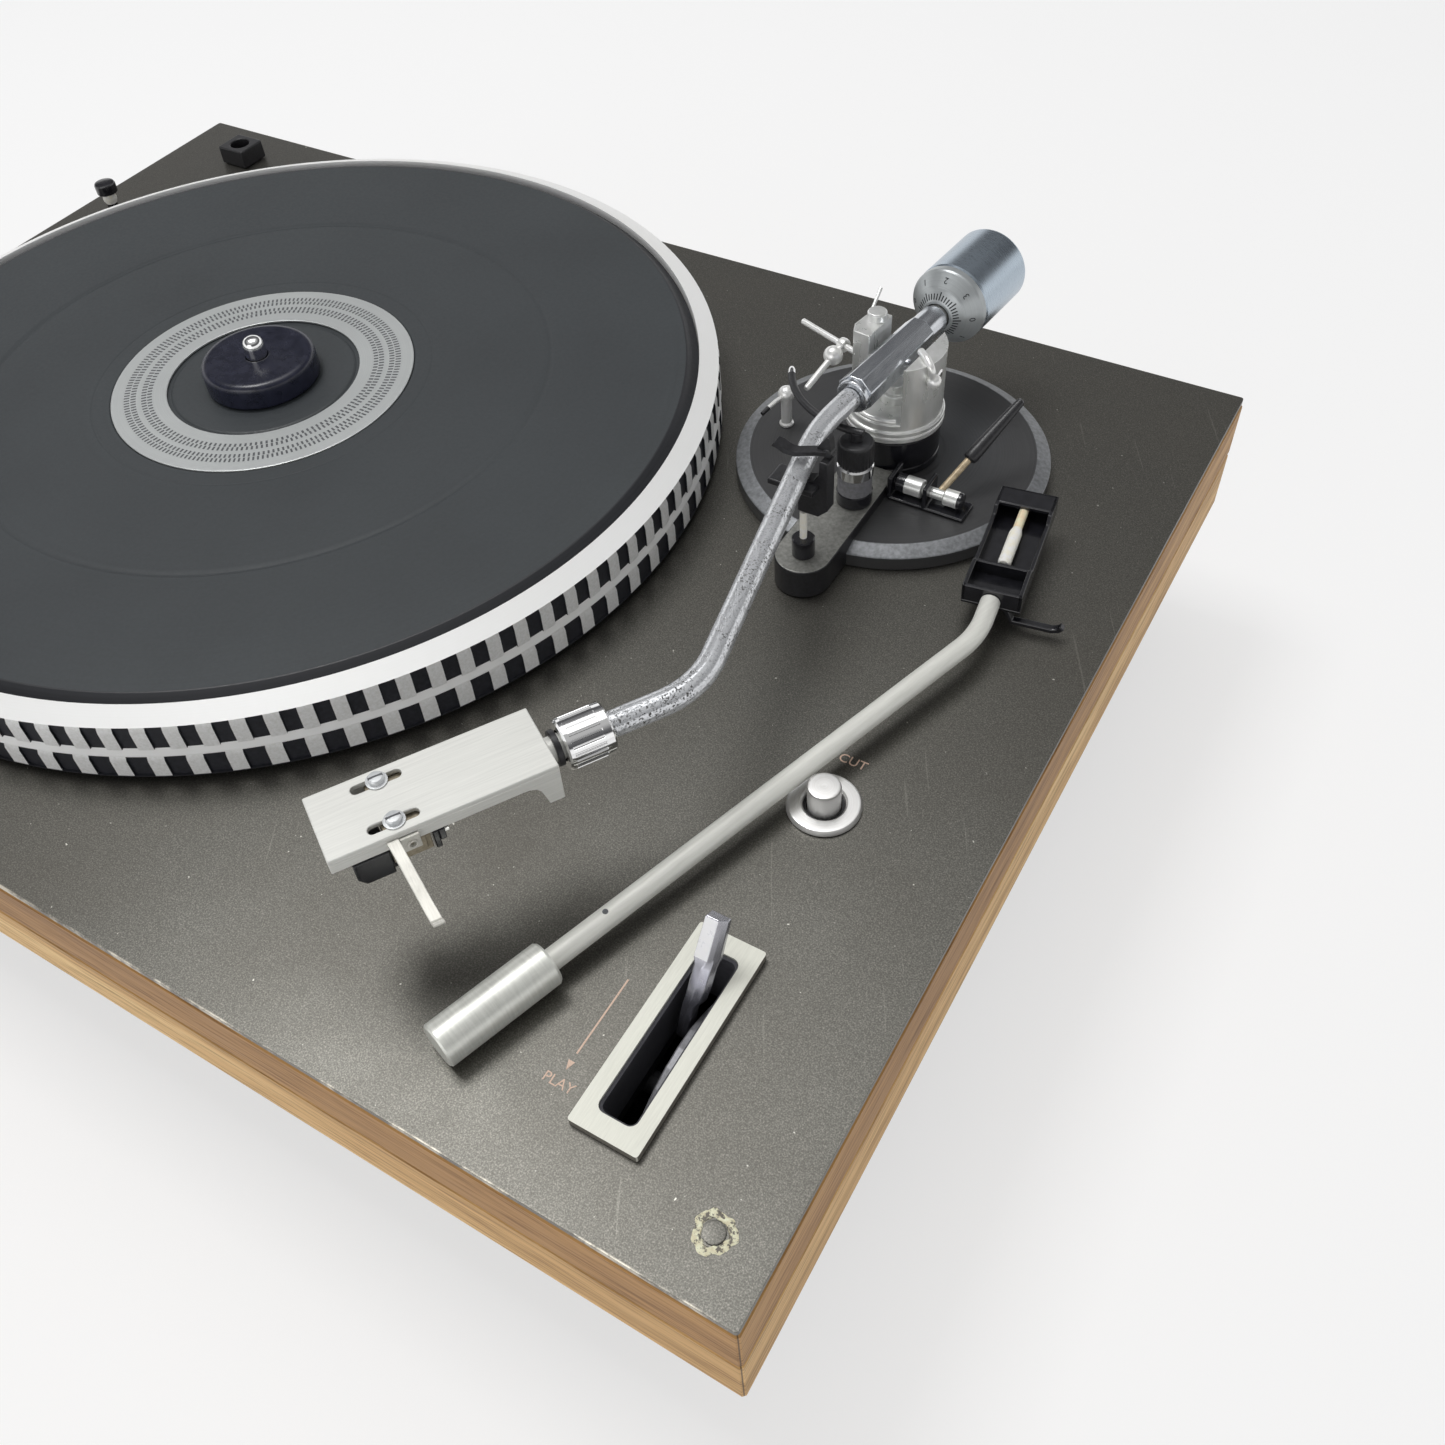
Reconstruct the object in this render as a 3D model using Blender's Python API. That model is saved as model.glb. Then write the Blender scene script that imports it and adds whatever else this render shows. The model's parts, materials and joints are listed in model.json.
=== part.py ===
"""A direct drive turntable with an S-shaped tonearm, each piece a solid of its own.

Metres, +Z up. The origin is on the floor under the middle of the plinth, and the front faces -Y.
"""

import math

import bmesh
import bpy
from mathutils import Matrix, Vector

# Clearances, and how finely round pieces are cut
GAP = 0.0003
OVERRUN = 0.002
SMOOTH_ANGLE = math.radians(32)
LARGE_STEPS = 64
ROUND_STEPS = 32
SMALL_STEPS = 16
TINY_STEPS = 8
UP = Vector((0, 0, 1))

# Plinth and case, from the floor up
FOOT_HEIGHT = 0.0197
FOOT_RADIUS = 0.024
FOOT_TOE_RADIUS = 0.020
FOOT_TOE_HEIGHT = 0.006
FOOT_FROM_SIDE = 0.050
FOOT_FROM_FRONT = 0.0484
PAN_INSET = 0.016
PAN_HEIGHT = 0.0317
PAN_WALL = 0.004
PAN_FLOOR = 0.004
STRIP_WALL = 0.020
STRIP_BEVEL = 0.0008
LOWER_STRIP_HEIGHT = 0.0227
UPPER_STRIP_HEIGHT = 0.0207
BOARD_THICKNESS = 0.0187
BOARD_CORNER = 0.002
DECK_THICKNESS = 0.002
DECK_INSET = 0.0003
DECK_CORNER = 0.001
PAN_BOTTOM = FOOT_HEIGHT + GAP
PAN_TOP = PAN_BOTTOM + PAN_HEIGHT
LOWER_STRIP_BOTTOM = PAN_TOP + GAP
LOWER_STRIP_TOP = LOWER_STRIP_BOTTOM + LOWER_STRIP_HEIGHT
UPPER_STRIP_BOTTOM = LOWER_STRIP_TOP + GAP
UPPER_STRIP_TOP = UPPER_STRIP_BOTTOM + UPPER_STRIP_HEIGHT
DECK_TOP = UPPER_STRIP_TOP + GAP + DECK_THICKNESS
BOARD_TOP = UPPER_STRIP_TOP - DECK_TOP
BOARD_BOTTOM = BOARD_TOP - BOARD_THICKNESS
TRAY_FLOOR_TOP = PAN_BOTTOM + PAN_FLOOR

# Mains transformer and cord glands
TRANSFORMER_SIZE = (0.060, 0.050, 0.040)
TRANSFORMER_FROM_SIDE = 0.075
TRANSFORMER_FROM_BACK = 0.0784
TRANSFORMER_BEVEL = 0.004
GLAND_FROM_SIDE = 0.090
GLAND_HEIGHT = 0.036
GLAND_RADIUS = 0.0065
GLAND_NECK_RADIUS = 0.0045
GLAND_BORE = 0.0025
GLAND_REACH = 0.0095
GLAND_TAIL = 0.003

# Platter, counted from the deck, and what lies on it
PLATTER_FROM_SIDE = 0.040
PLATTER_TO_DISC = 0.00643
PLATTER_RADIUS = 0.1538
PLATTER_WALL = 0.0068
PLATTER_LIFT = 0.002
PLATTER_WEB = 0.005
BAND_RECESS = 0.0008
FOOT_LIP = 0.0006
LOWER_BAND_HEIGHT = 0.0077
BEAD_HEIGHT = 0.0034
BEAD_ROUND = 0.0007
UPPER_BAND_HEIGHT = 0.0089
RIM_HEIGHT = 0.0024
RIM_SLOPE_WIDTH = 0.0067
MAT_BEVEL_WIDTH = 0.0038
MAT_BEVEL_DROP = 0.003
MAT_SEAT_DROP = 0.004
LABEL_RADIUS = 0.0506
LABEL_INNER_RADIUS = 0.0323
LABEL_THICKNESS = 0.0007
LABEL_SEAT_DROP = 0.0007
ADAPTER_RADIUS = 0.0189
ADAPTER_HEIGHT = 0.0087
ADAPTER_ROUND = 0.0012
PLATTER_TOP = (PLATTER_LIFT + FOOT_LIP + LOWER_BAND_HEIGHT + BEAD_HEIGHT + UPPER_BAND_HEIGHT
               + RIM_HEIGHT)
MAT_SEAT = PLATTER_TOP - MAT_SEAT_DROP
WEB_BOTTOM = MAT_SEAT - PLATTER_WEB
LABEL_SEAT = PLATTER_TOP - LABEL_SEAT_DROP
LABEL_BOTTOM = LABEL_SEAT + GAP

# Direct drive motor, hung under the board
SPINDLE_RADIUS = 0.0036
SPINDLE_TOP = 0.040
SPINDLE_TIP = 0.004
MOTOR_RADIUS = 0.050
MOTOR_WALL = 0.0025
MOTOR_FLOOR = 0.003
MOTOR_RIM = 0.0003
MOTOR_HOLE_CLEARANCE = 0.002
BOSS_RADIUS = 0.012
SLEEVE_WALL = 0.003
SLEEVE_RUNNING_GAP = 0.0004
SLEEVE_PROUD = 0.0004
FLANGE_RADIUS = 0.062
FLANGE_THICKNESS = 0.0037
COIL_THICKNESS = 0.005
COIL_BUMP = 0.0025
COIL_COUNT = 6
COIL_SIDE_GAP = 0.0015
MAGNET_GAP = 0.0013
ROTOR_RADIUS = 0.048
ROTOR_THICKNESS = 0.0062
ROTOR_HUB_RADIUS = 0.014
ROTOR_HUB_TAPER = 0.002
BORE = SPINDLE_RADIUS + GAP
SLEEVE_BORE = SPINDLE_RADIUS + SLEEVE_RUNNING_GAP
BOSS_BORE = SLEEVE_BORE + SLEEVE_WALL + GAP
FLANGE_TOP = BOARD_BOTTOM - GAP
FLANGE_BOTTOM = FLANGE_TOP - FLANGE_THICKNESS
MOTOR_BOTTOM = FLANGE_BOTTOM - MOTOR_FLOOR
COIL_INNER = BOSS_RADIUS + GAP
COIL_OUTER = MOTOR_RADIUS - MOTOR_WALL - COIL_SIDE_GAP
ROTOR_TOP = WEB_BOTTOM - GAP
ROTOR_BOTTOM = MOTOR_RIM + COIL_BUMP
COIL_TOP = ROTOR_BOTTOM - MAGNET_GAP - COIL_BUMP

# Tonearm base, around the arm's upright axis
PIVOT_FROM_SIDE = 0.0912
PIVOT_FROM_BACK = 0.0858
PIVOT_FROM_BUTTON = 0.1354
PIVOT_BEARING = math.radians(22.607)
ARM_TURN = math.radians(-5.8)
DISC_RADIUS = 0.051
DISC_EDGE = 0.0047
DISC_CHAMFER_WIDTH = 0.0044
DISC_CHAMFER = 0.0018
TONGUE_HALF_WIDTH = 0.00875
TONGUE_THICKNESS = 0.0102
TONGUE_END = 0.0615
COLLAR_RADIUS = 0.015
COLLAR_HEIGHT = 0.0129
PILLAR_RADIUS = 0.004
PILLAR_CLEARANCE = 0.0004
PILLAR_DECK_CLEARANCE = 0.005
RETURN_LEVER_BOTTOM = -0.036
RETURN_LEVER_THICKNESS = 0.003
RETURN_LEVER_LENGTH = 0.030
RETURN_LEVER_HALF_WIDTH = 0.006
DISC_TOP = GAP + DISC_EDGE + DISC_CHAMFER
TONGUE_TOP = GAP + TONGUE_THICKNESS
ON_DISC = DISC_TOP + GAP
ON_TONGUE = TONGUE_TOP + GAP
TONGUE_START = COLLAR_RADIUS + GAP
COLLAR_TOP = ON_DISC + COLLAR_HEIGHT

# Yoke and its pivots
YOKE_RING_EDGE = 0.0008
YOKE_RING_HEIGHT = 0.0042
YOKE_FLOOR = 0.0067
YOKE_HEIGHT = 0.0267
YOKE_SLOT_HALF_WIDTH = 0.009
YOKE_LEFT_RISE = 0.0225
YOKE_LEFT_OUTLINE = ((-0.0072, -0.0054), (-0.0072, 0.008), (-0.0122, 0.008), (-0.0142, 0.004),
                     (-0.0146, -0.0018), (-0.0130, -0.0052))
YOKE_CAP_PLACE = (-0.0103, 0.0042)
YOKE_CAP_RADIUS = 0.0031
YOKE_CAP_HEIGHT = 0.0027
YOKE_BOSS_RADIUS = 0.005
YOKE_BOSS_STEP = 0.0015
YOKE_BOSS_HEIGHT = 0.006
PIVOT_HEIGHT = 0.041
PIVOT_SCREW_RADIUS = 0.0016
PIVOT_SCREW_CLEARANCE = 0.0003
PIVOT_SCREW_PROUD = 0.0003
PIVOT_TIP_GAP = 0.0003
YOKE_BOTTOM = COLLAR_TOP + GAP
YOKE_TOP = YOKE_BOTTOM + YOKE_HEIGHT
YOKE_SLOT_BOTTOM = YOKE_BOTTOM + YOKE_FLOOR
YOKE_LEFT_TOP = YOKE_SLOT_BOTTOM + YOKE_LEFT_RISE

# Arm, along its own line: forward is -Y of the arm
ARM_HEIGHT = 0.043
HOUSING_FRONT = 0.0245
HOUSING_BACK = 0.0127
HOUSING_FRONT_FLATS = 0.0115
HOUSING_BACK_FLATS = 0.0102
HOUSING_RING_RADIUS = 0.0053
HOUSING_RING_LENGTH = 0.002
TUBE_RADIUS = 0.0034
TUBE_FIRST_CORNER = 0.0445
TUBE_MIDDLE_RUN = 0.1046
TUBE_OUTWARD_TURN = math.radians(17.5)
TUBE_SHELL_TURN = math.radians(-26.3)
TUBE_FIRST_BEND = 0.060
TUBE_SECOND_BEND = 0.026
COLLAR_REAR_FROM_CORNER = 0.0247
LOCK_LENGTH = 0.0121
LOCK_RADIUS = 0.0066
LOCK_GROOVE = 0.0005
LOCK_RIBS = 24
LOCK_EDGE = 0.0006
LOCK_BORE_CLEARANCE = 0.0004
TUBE_IN_LOCK = 0.0078
REAR_SHAFT_RADIUS = 0.0039
REAR_SHAFT_LENGTH = 0.0365
DIAL_START = 0.0235
DIAL_LENGTH = 0.009
DIAL_FRONT_RADIUS = 0.0092
WEIGHT_RADIUS = 0.0127
WEIGHT_LENGTH = 0.0258
WEIGHT_EDGE = 0.0007
WEIGHT_BORE_CLEARANCE = 0.0004
REAR_SHAFT_START = HOUSING_BACK + GAP
REAR_SHAFT_END = REAR_SHAFT_START + REAR_SHAFT_LENGTH
DIAL_END = DIAL_START + DIAL_LENGTH
WEIGHT_START = DIAL_END + GAP
WEIGHT_END = WEIGHT_START + WEIGHT_LENGTH
WEIGHT_BORE = REAR_SHAFT_RADIUS + WEIGHT_BORE_CLEARANCE
LOCK_FRONT_FROM_CORNER = COLLAR_REAR_FROM_CORNER + LOCK_LENGTH
TUBE_START = HOUSING_FRONT + HOUSING_RING_LENGTH + GAP

# Headshell and cartridge, in a frame at the front of the locking collar
SHELL_BACK = 0.0039
SHELL_LENGTH = 0.0549
SHELL_HALF_WIDTH = 0.010
SHELL_TOP = 0.006
SHELL_PLATE = 0.0016
SHELL_FLANGE = 0.003
SHELL_EDGE = 0.0003
SHELL_REAR_DROP = 0.012
SHELL_REAR_HALF_WIDTH = 0.0095
SHELL_REAR_WALL = 0.0016
SLOT_HALF_WIDTH = 0.0013
SLOT_LENGTH = 0.0121
SLOT_BACK = 0.0363
SLOT_X = 0.00635
SCREW_Y = 0.0421
SCREW_HOLE_RADIUS = 0.0013
SCREW_HOLE_DEPTH = 0.0043
MOUNT_FRONT = 0.0448
MOUNT_BACK = 0.0348
MOUNT_HALF_WIDTH = 0.008
CARTRIDGE_FRONT = 0.0528
CARTRIDGE_HALF_WIDTH = 0.0085
CARTRIDGE_TOP = -0.004
CARTRIDGE_HEIGHT = 0.008
CARTRIDGE_EDGE = 0.0008
STYLUS_DROP = 0.0045
STYLUS_BLOCK = 0.0028
STYLUS_HALF_WIDTH = 0.003
STYLUS_TIP_HALF_WIDTH = 0.0003
STYLUS_TIP_Y = 0.0498
STYLUS_BLOCK_FRONT = 0.0515
STYLUS_BLOCK_BACK = 0.0415
STYLUS_TAPER = 0.0008
LIFT_REACH = 0.0231
LIFT_WIDTH = 0.0025
LIFT_THICKNESS = 0.0009
LIFT_DROP = 0.0038
LIFT_CURL = 0.0016
PLATE_UNDERSIDE = SHELL_TOP - SHELL_PLATE
SHELL_FRONT = SHELL_BACK + SHELL_LENGTH
PLUG_END = LOCK_LENGTH - TUBE_IN_LOCK - GAP
CARTRIDGE_BOTTOM = CARTRIDGE_TOP - CARTRIDGE_HEIGHT

# Arm lifter, cue lever and arm rest, around the arm's upright axis
LIFTER_X = 0.0024
LIFTER_Y = 0.0325
LIFTER_RADIUS = 0.0056
LIFTER_HEIGHT = 0.0142
LIFTER_SOCKET = 0.012
PISTON_RADIUS = 0.002
PISTON_CLEARANCE = 0.0003
KNOB_HEIGHT = 0.0082
KNOB_EDGE = 0.0006
NECK_RADIUS = 0.0018
LIFTER_ROD_RADIUS = 0.0012
LIFTER_ROD_HEIGHT = 0.0363
LIFTER_ARC_START = math.radians(-8)
LIFTER_ARC_END = math.radians(64)
CUE_Y = 0.0195
CUE_AXIS_RISE = 0.0042
CUE_LEFT_EAR = 0.0093
CUE_EAR = 0.0014
CUE_BARREL_END = 0.020
CUE_RIGHT_EAR = 0.0212
CUE_SHAFT_END = 0.027
CUE_CAP_END = 0.033
CUE_BARREL_RADIUS = 0.003
CUE_SHAFT_RADIUS = 0.0017
CUE_CAP_RADIUS = 0.0027
CUE_BRACKET_HALF_DEPTH = 0.0045
CUE_PLATE = 0.001
CUE_PLATE_END = 0.035
CUE_EAR_RISE = 0.003
CUE_ROD_X = 0.0247
CUE_ROD_DIRECTION = (0.322, 0.815, 0.482)
CUE_ROD_RADIUS = 0.0011
CUE_ROD_LENGTH = 0.014
CUE_GRIP_LENGTH = 0.024
CUE_GRIP_RADIUS = 0.0023
CUE_GRIP_TIP_RADIUS = 0.0013
POST_COLLAR_RADIUS = 0.0035
POST_COLLAR_HEIGHT = 0.0057
POST_RADIUS = 0.0011
POST_TOP = 0.0267
REST_Y = -0.060
REST_HALF_DEPTH = 0.0022
REST_LEFT = 0.0095
REST_SADDLE_FRONT = 0.0058
REST_STEM_HALF_WIDTH = 0.0016
REST_WALL_INNER = 0.0052
REST_WALL_OUTER = 0.0080
REST_FOOT_RIGHT = 0.005
REST_SADDLE_DROP = 0.0004
REST_SADDLE_THICKNESS = 0.0025
REST_WALL_TOP = 0.0475
REST_SHOULDER = 0.003
CLAMP_HINGE_X = 0.0066
CLAMP_HINGE_Y = -0.0588
CLAMP_HALF_DEPTH = 0.0017
CLAMP_SLANT = 0.5
CLAMP_HINGE_RADIUS = 0.0015
CLAMP_THICKNESS = 0.0016
CLAMP_FIN = ((-0.0036, 0.0), (0.0, 0.0056), (0.001, 0.0056), (0.0013, 0.0))
CLAMP_LINE = ((0.0, 0.0), (-0.0088, 0.0), (-0.0098, 0.0004), (-0.0135, 0.0034))
LIFTER_FOOT = ON_TONGUE
LIFTER_TOP = LIFTER_FOOT + LIFTER_HEIGHT
KNOB_BOTTOM = LIFTER_TOP + GAP
CUE_AXIS_HEIGHT = ON_DISC + CUE_AXIS_RISE
REST_BOTTOM = POST_TOP + GAP
SADDLE_TOP = ARM_HEIGHT - TUBE_RADIUS - REST_SADDLE_DROP
CLAMP_HEIGHT = REST_WALL_TOP + GAP + CLAMP_HINGE_RADIUS

# Anti-skating rod, weight and thread post
SKATE_PLACE = (-0.0153, -0.0036, 0.0413)
SKATE_TURN = math.radians(-13.6)
SKATE_ROD_RADIUS = 0.00095
SKATE_ROD_INSET = 0.0035
SKATE_ROD_LENGTH = 0.0212
SKATE_WEIGHT_X = 0.0026
SKATE_BALL_RADIUS = 0.0031
SKATE_BALL_OUT = 0.0046
SKATE_BALL_DIRECTION = (0, -0.92, -0.39)
SKATE_TIP_DIRECTION = (0.18, -0.94, -0.28)
SKATE_EYE_RADIUS = 0.0021
SKATE_EYE_HALF_WIDTH = 0.0011
SKATE_EYE_CLEARANCE = 0.0003
SKATE_TIP_LENGTH = 0.0118
SKATE_TIP_RADIUS = 0.001
THREAD_POST_X = 0.0366
THREAD_POST_Y = 0.0045
THREAD_POST_RADIUS = 0.0018
THREAD_BALL_HEIGHT = 0.019
THREAD_BALL_RADIUS = 0.0028
THREAD_ROD_RADIUS = 0.0007
THREAD_ROD_BACK = (0.0015, 0.0035)
THREAD_ROD_FRONT = (0.0026, 0.0117)

# Cut button
BUTTON_FROM_SIDE = 0.0458
BUTTON_FROM_LEVER = 0.0764
BUTTON_RADIUS = 0.0045
BUTTON_TOP = 0.009
BUTTON_DEPTH = 0.016
BUTTON_EDGE = 0.0005
BUTTON_FLANGE_RADIUS = 0.0101
BUTTON_FLANGE_BORE = 0.0056
BUTTON_FLANGE_HEIGHT = 0.0017
BUTTON_FLANGE_SLOPE = 0.0005
BUTTON_BOARD_CLEARANCE = 0.0015

# Play lever, its drum and its bezel
LEVER_FROM_SIDE = 0.046
DRUM_TO_STRIP = 0.0012
BEZEL_HALF_WIDTH = 0.0093
BEZEL_HALF_LENGTH = 0.0292
BEZEL_HEIGHT = 0.0023
BEZEL_SLOT_HALF_WIDTH = 0.0052
BEZEL_SLOT_HALF_LENGTH = 0.024
BEZEL_CORNER = 0.0008
BEZEL_SLOT_CORNER = 0.0022
DECK_SLOT_MARGIN = 0.0005
BOARD_SLOT_MARGIN = 0.001
BOARD_SLOT_HALF_LENGTH = 0.0285
DRUM_DEPTH = 0.031
DRUM_RADIUS = 0.028
DRUM_SIDE = 0.0013
DRUM_THICKNESS = 0.0034
DRUM_EDGE = 0.0004
AXLE_RADIUS = 0.003
AXLE_CLEARANCE = 0.0003
LUG_INNER = 0.0093
LUG_THICKNESS = 0.004
LUG_HALF_DEPTH = 0.007
LUG_BELOW_AXLE = 0.005
AXLE_END_GAP = 0.0006
LEVER_BASE = (0.0063, 0.022)
LEVER_PADDLE = (0.0186, 0.0432)
LEVER_TIP = (0.0233, 0.051)
LEVER_STEM_RADIUS = 0.0032
LEVER_FOOT_LEFT = 0.0032
LEVER_FOOT_HALF_DEPTH = 0.003
LEVER_FOOT_SHOULDER = (0.0108, 0.0298)
LEVER_PADDLE_HALF_WIDTH = 0.0034
LEVER_PADDLE_HALF_THICKNESS = 0.0016

# Small things on the deck
LAMP_FROM_SIDE = 0.021
LAMP_FROM_BACK = 0.0843
LAMP_STEM_RADIUS = 0.0022
LAMP_LENS_RADIUS = 0.0029
LAMP_LENS_HEIGHT = 0.0085
LAMP_HOOD_RADIUS = 0.0043
LAMP_HOOD_BOTTOM = 0.011
LAMP_HOOD_TOP = 0.0155
LAMP_EDGE = 0.0007
HOLDER_FROM_SIDE = 0.0376
HOLDER_FROM_BACK = 0.0225
HOLDER_HALF_WIDTH = 0.007
HOLDER_HALF_DEPTH = 0.0065
HOLDER_HEIGHT = 0.0075
HOLDER_BORE = 0.0042
HOLDER_EDGE = 0.0006
KNOB_FROM_SIDE = 0.035
KNOB_FROM_FRONT = 0.0334
SPEED_KNOB_RADIUS = 0.011
SPEED_KNOB_HEIGHT = 0.0117
SPEED_KNOB_EDGE = 0.0008

# Record cleaning arm that lies on the deck
CLEANER_FROM_BUTTON = (-0.0440, -0.1071)
CLEANER_HEADING = math.radians(-18.3)
CLEANER_TILT = math.radians(1.13)
CLEANER_WEIGHT_RADIUS = 0.00585
CLEANER_WEIGHT_LENGTH = 0.0321
CLEANER_WEIGHT_EDGE = 0.0005
CLEANER_BORE_DEPTH = 0.012
CLEANER_TUBE_RADIUS = 0.0029
CLEANER_TUBE_CLEARANCE = 0.0003
CLEANER_CORNER = 0.1833
CLEANER_TURN = math.radians(26.5)
CLEANER_BEND = 0.030
CLEANER_LAST_RUN = 0.014
HEAD_HALF_WIDTH = 0.0087
HEAD_LENGTH = 0.0455
HEAD_BOTTOM = -0.0029
HEAD_HEIGHT = 0.007
HEAD_WALL = 0.0012
HEAD_CROSS_WALL_Y = 0.0125
HEAD_SHIFT = 0.0
HEAD_BAR = 0.0075
HEAD_BAR_THICKNESS = 0.0015
HOOK_WIDTH = 0.0025
HOOK_THICKNESS = 0.0016
HOOK_ROOT_X = 0.004
HOOK_ELBOW_X = 0.0065
HOOK_FLAT_X = 0.018
HOOK_REACH = 0.021
HOOK_DROP = 0.004
HOOK_CURL = 0.002
PIN_THICK_RADIUS = 0.0018
PIN_THIN_RADIUS = 0.0011
PIN_THICK_LENGTH = 0.016

# Size of the plinth and places on the deck, worked out from the sizes above
LEVER_FROM_FRONT = STRIP_WALL + DRUM_TO_STRIP + DRUM_RADIUS
PIVOT_REACH = PLATTER_RADIUS + PLATTER_TO_DISC + DISC_RADIUS
WIDTH = (PLATTER_FROM_SIDE + PLATTER_RADIUS + PIVOT_REACH * math.cos(PIVOT_BEARING)
         + PIVOT_FROM_SIDE)
DEPTH = LEVER_FROM_FRONT + BUTTON_FROM_LEVER + PIVOT_FROM_BUTTON + PIVOT_FROM_BACK
SIDE = WIDTH / 2
BACK = DEPTH / 2
PIVOT_X = SIDE - PIVOT_FROM_SIDE
PIVOT_Y = BACK - PIVOT_FROM_BACK
PLATTER_X = PLATTER_FROM_SIDE + PLATTER_RADIUS - SIDE
PLATTER_Y = PIVOT_Y - PIVOT_REACH * math.sin(PIVOT_BEARING)
LEVER_X = SIDE - LEVER_FROM_SIDE
LEVER_Y = LEVER_FROM_FRONT - BACK
BUTTON_X = SIDE - BUTTON_FROM_SIDE
BUTTON_Y = LEVER_Y + BUTTON_FROM_LEVER
CLEANER_X = BUTTON_X + CLEANER_FROM_BUTTON[0]
CLEANER_Y = BUTTON_Y + CLEANER_FROM_BUTTON[1]
LAMP_X = LAMP_FROM_SIDE - SIDE
LAMP_Y = BACK - LAMP_FROM_BACK
HOLDER_X = HOLDER_FROM_SIDE - SIDE
HOLDER_Y = BACK - HOLDER_FROM_BACK
KNOB_X = KNOB_FROM_SIDE - SIDE
KNOB_Y = KNOB_FROM_FRONT - BACK
TRANSFORMER_PLACE = (TRANSFORMER_FROM_SIDE - SIDE, BACK - TRANSFORMER_FROM_BACK)
GLAND_X = GLAND_FROM_SIDE - SIDE

# Colour, roughness and metallic value of each finish
FINISHES = {
    "walnut_light": ((0.30, 0.17, 0.075), 0.45, 0.0),
    "walnut_dark": ((0.17, 0.095, 0.045), 0.45, 0.0),
    "deck_grey": ((0.055, 0.053, 0.048), 0.40, 0.7),
    "particle_board": ((0.35, 0.24, 0.13), 0.8, 0.0),
    "black_plastic": ((0.012, 0.012, 0.013), 0.35, 0.0),
    "black_rubber": ((0.022, 0.024, 0.027), 0.75, 0.0),
    "cast_white": ((0.62, 0.62, 0.60), 0.4, 0.3),
    "satin_aluminium": ((0.55, 0.54, 0.51), 0.32, 1.0),
    "chrome": ((0.62, 0.63, 0.65), 0.12, 1.0),
    "grey_disc": ((0.05, 0.052, 0.056), 0.38, 0.5),
    "steel": ((0.45, 0.45, 0.44), 0.3, 1.0),
    "bronze": ((0.32, 0.21, 0.10), 0.45, 0.6),
    "copper": ((0.55, 0.22, 0.08), 0.35, 1.0),
    "magnet": ((0.06, 0.06, 0.065), 0.5, 0.5),
    "cream": ((0.50, 0.45, 0.33), 0.45, 0.0),
    "helper": ((0.8, 0.1, 0.1), 0.5, 0.0),
}


def clear_scene():
    for old in list(bpy.data.objects):
        bpy.data.objects.remove(old, do_unlink=True)


def material_of(name, finish):
    colour, roughness, metallic = FINISHES[finish]
    made = bpy.data.materials.new(name)
    made.use_nodes = True
    shader = made.node_tree.nodes["Principled BSDF"]
    shader.inputs["Base Color"].default_value = (*colour, 1)
    shader.inputs["Roughness"].default_value = roughness
    shader.inputs["Metallic"].default_value = metallic
    return made


def new_object(name, bm, finish, parent=None, location=(0, 0, 0)):
    bmesh.ops.recalc_face_normals(bm, faces=bm.faces)
    mesh = bpy.data.meshes.new(name)
    bm.to_mesh(mesh)
    bm.free()
    mesh.shade_smooth()
    mesh.set_sharp_from_angle(angle=SMOOTH_ANGLE)
    mesh.materials.append(material_of(name, finish))
    made = bpy.data.objects.new(name, mesh)
    bpy.context.scene.collection.objects.link(made)
    made.parent = parent
    made.location = location
    return made


def new_empty(name, location, parent=None, rotation=(0, 0, 0)):
    made = bpy.data.objects.new(name, None)
    bpy.context.scene.collection.objects.link(made)
    made.parent = parent
    made.location = location
    made.rotation_euler = rotation
    return made


def boolean(target, operation, bm, parent=None, location=(0, 0, 0)):
    """Cuts the shape from the target, or joins it on, through a hidden helper object."""
    count = len(target.modifiers)
    tool = new_object(f"{target.name}_{operation.lower()}_{count}", bm, "helper", parent, location)
    tool.hide_render = True
    tool.display_type = "WIRE"
    modifier = target.modifiers.new(tool.name, "BOOLEAN")
    modifier.object = tool
    modifier.operation = operation


def cut(target, bm, parent=None, location=(0, 0, 0)):
    boolean(target, "DIFFERENCE", bm, parent, location)


def join(target, bm, parent=None, location=(0, 0, 0)):
    boolean(target, "UNION", bm, parent, location)


def bevel(target, width, segments=2):
    modifier = target.modifiers.new("edges", "BEVEL")
    modifier.width = width
    modifier.segments = segments
    modifier.limit_method = "ANGLE"


def loft_bm(rings, closed=False):
    """A skin over rings of equally many points. Its ends are capped unless the rings close up."""
    bm = bmesh.new()
    rows = [[bm.verts.new(point) for point in ring] for ring in rings]
    pairs = list(zip(rows, rows[1:]))
    if closed:
        pairs.append((rows[-1], rows[0]))
    else:
        bm.faces.new(rows[0])
        bm.faces.new(rows[-1])
    for low, high in pairs:
        for i in range(len(low)):
            j = (i + 1) % len(low)
            bm.faces.new((low[i], low[j], high[j], high[i]))
    return bm


def circle(radius, height, steps):
    angles = [math.tau * i / steps for i in range(steps)]
    return [Vector((radius * math.cos(a), radius * math.sin(a), height)) for a in angles]


def turned_bm(profile, steps, closed=False):
    """A solid turned about Z from (radius, height) points."""
    return loft_bm([circle(radius, height, steps) for radius, height in profile], closed)


def tube_bm(inner, outer, low, high, steps):
    return turned_bm([(inner, low), (outer, low), (outer, high), (inner, high)], steps, closed=True)


def rod_bm(radius, low, high, steps):
    return turned_bm([(radius, low), (radius, high)], steps)


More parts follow.
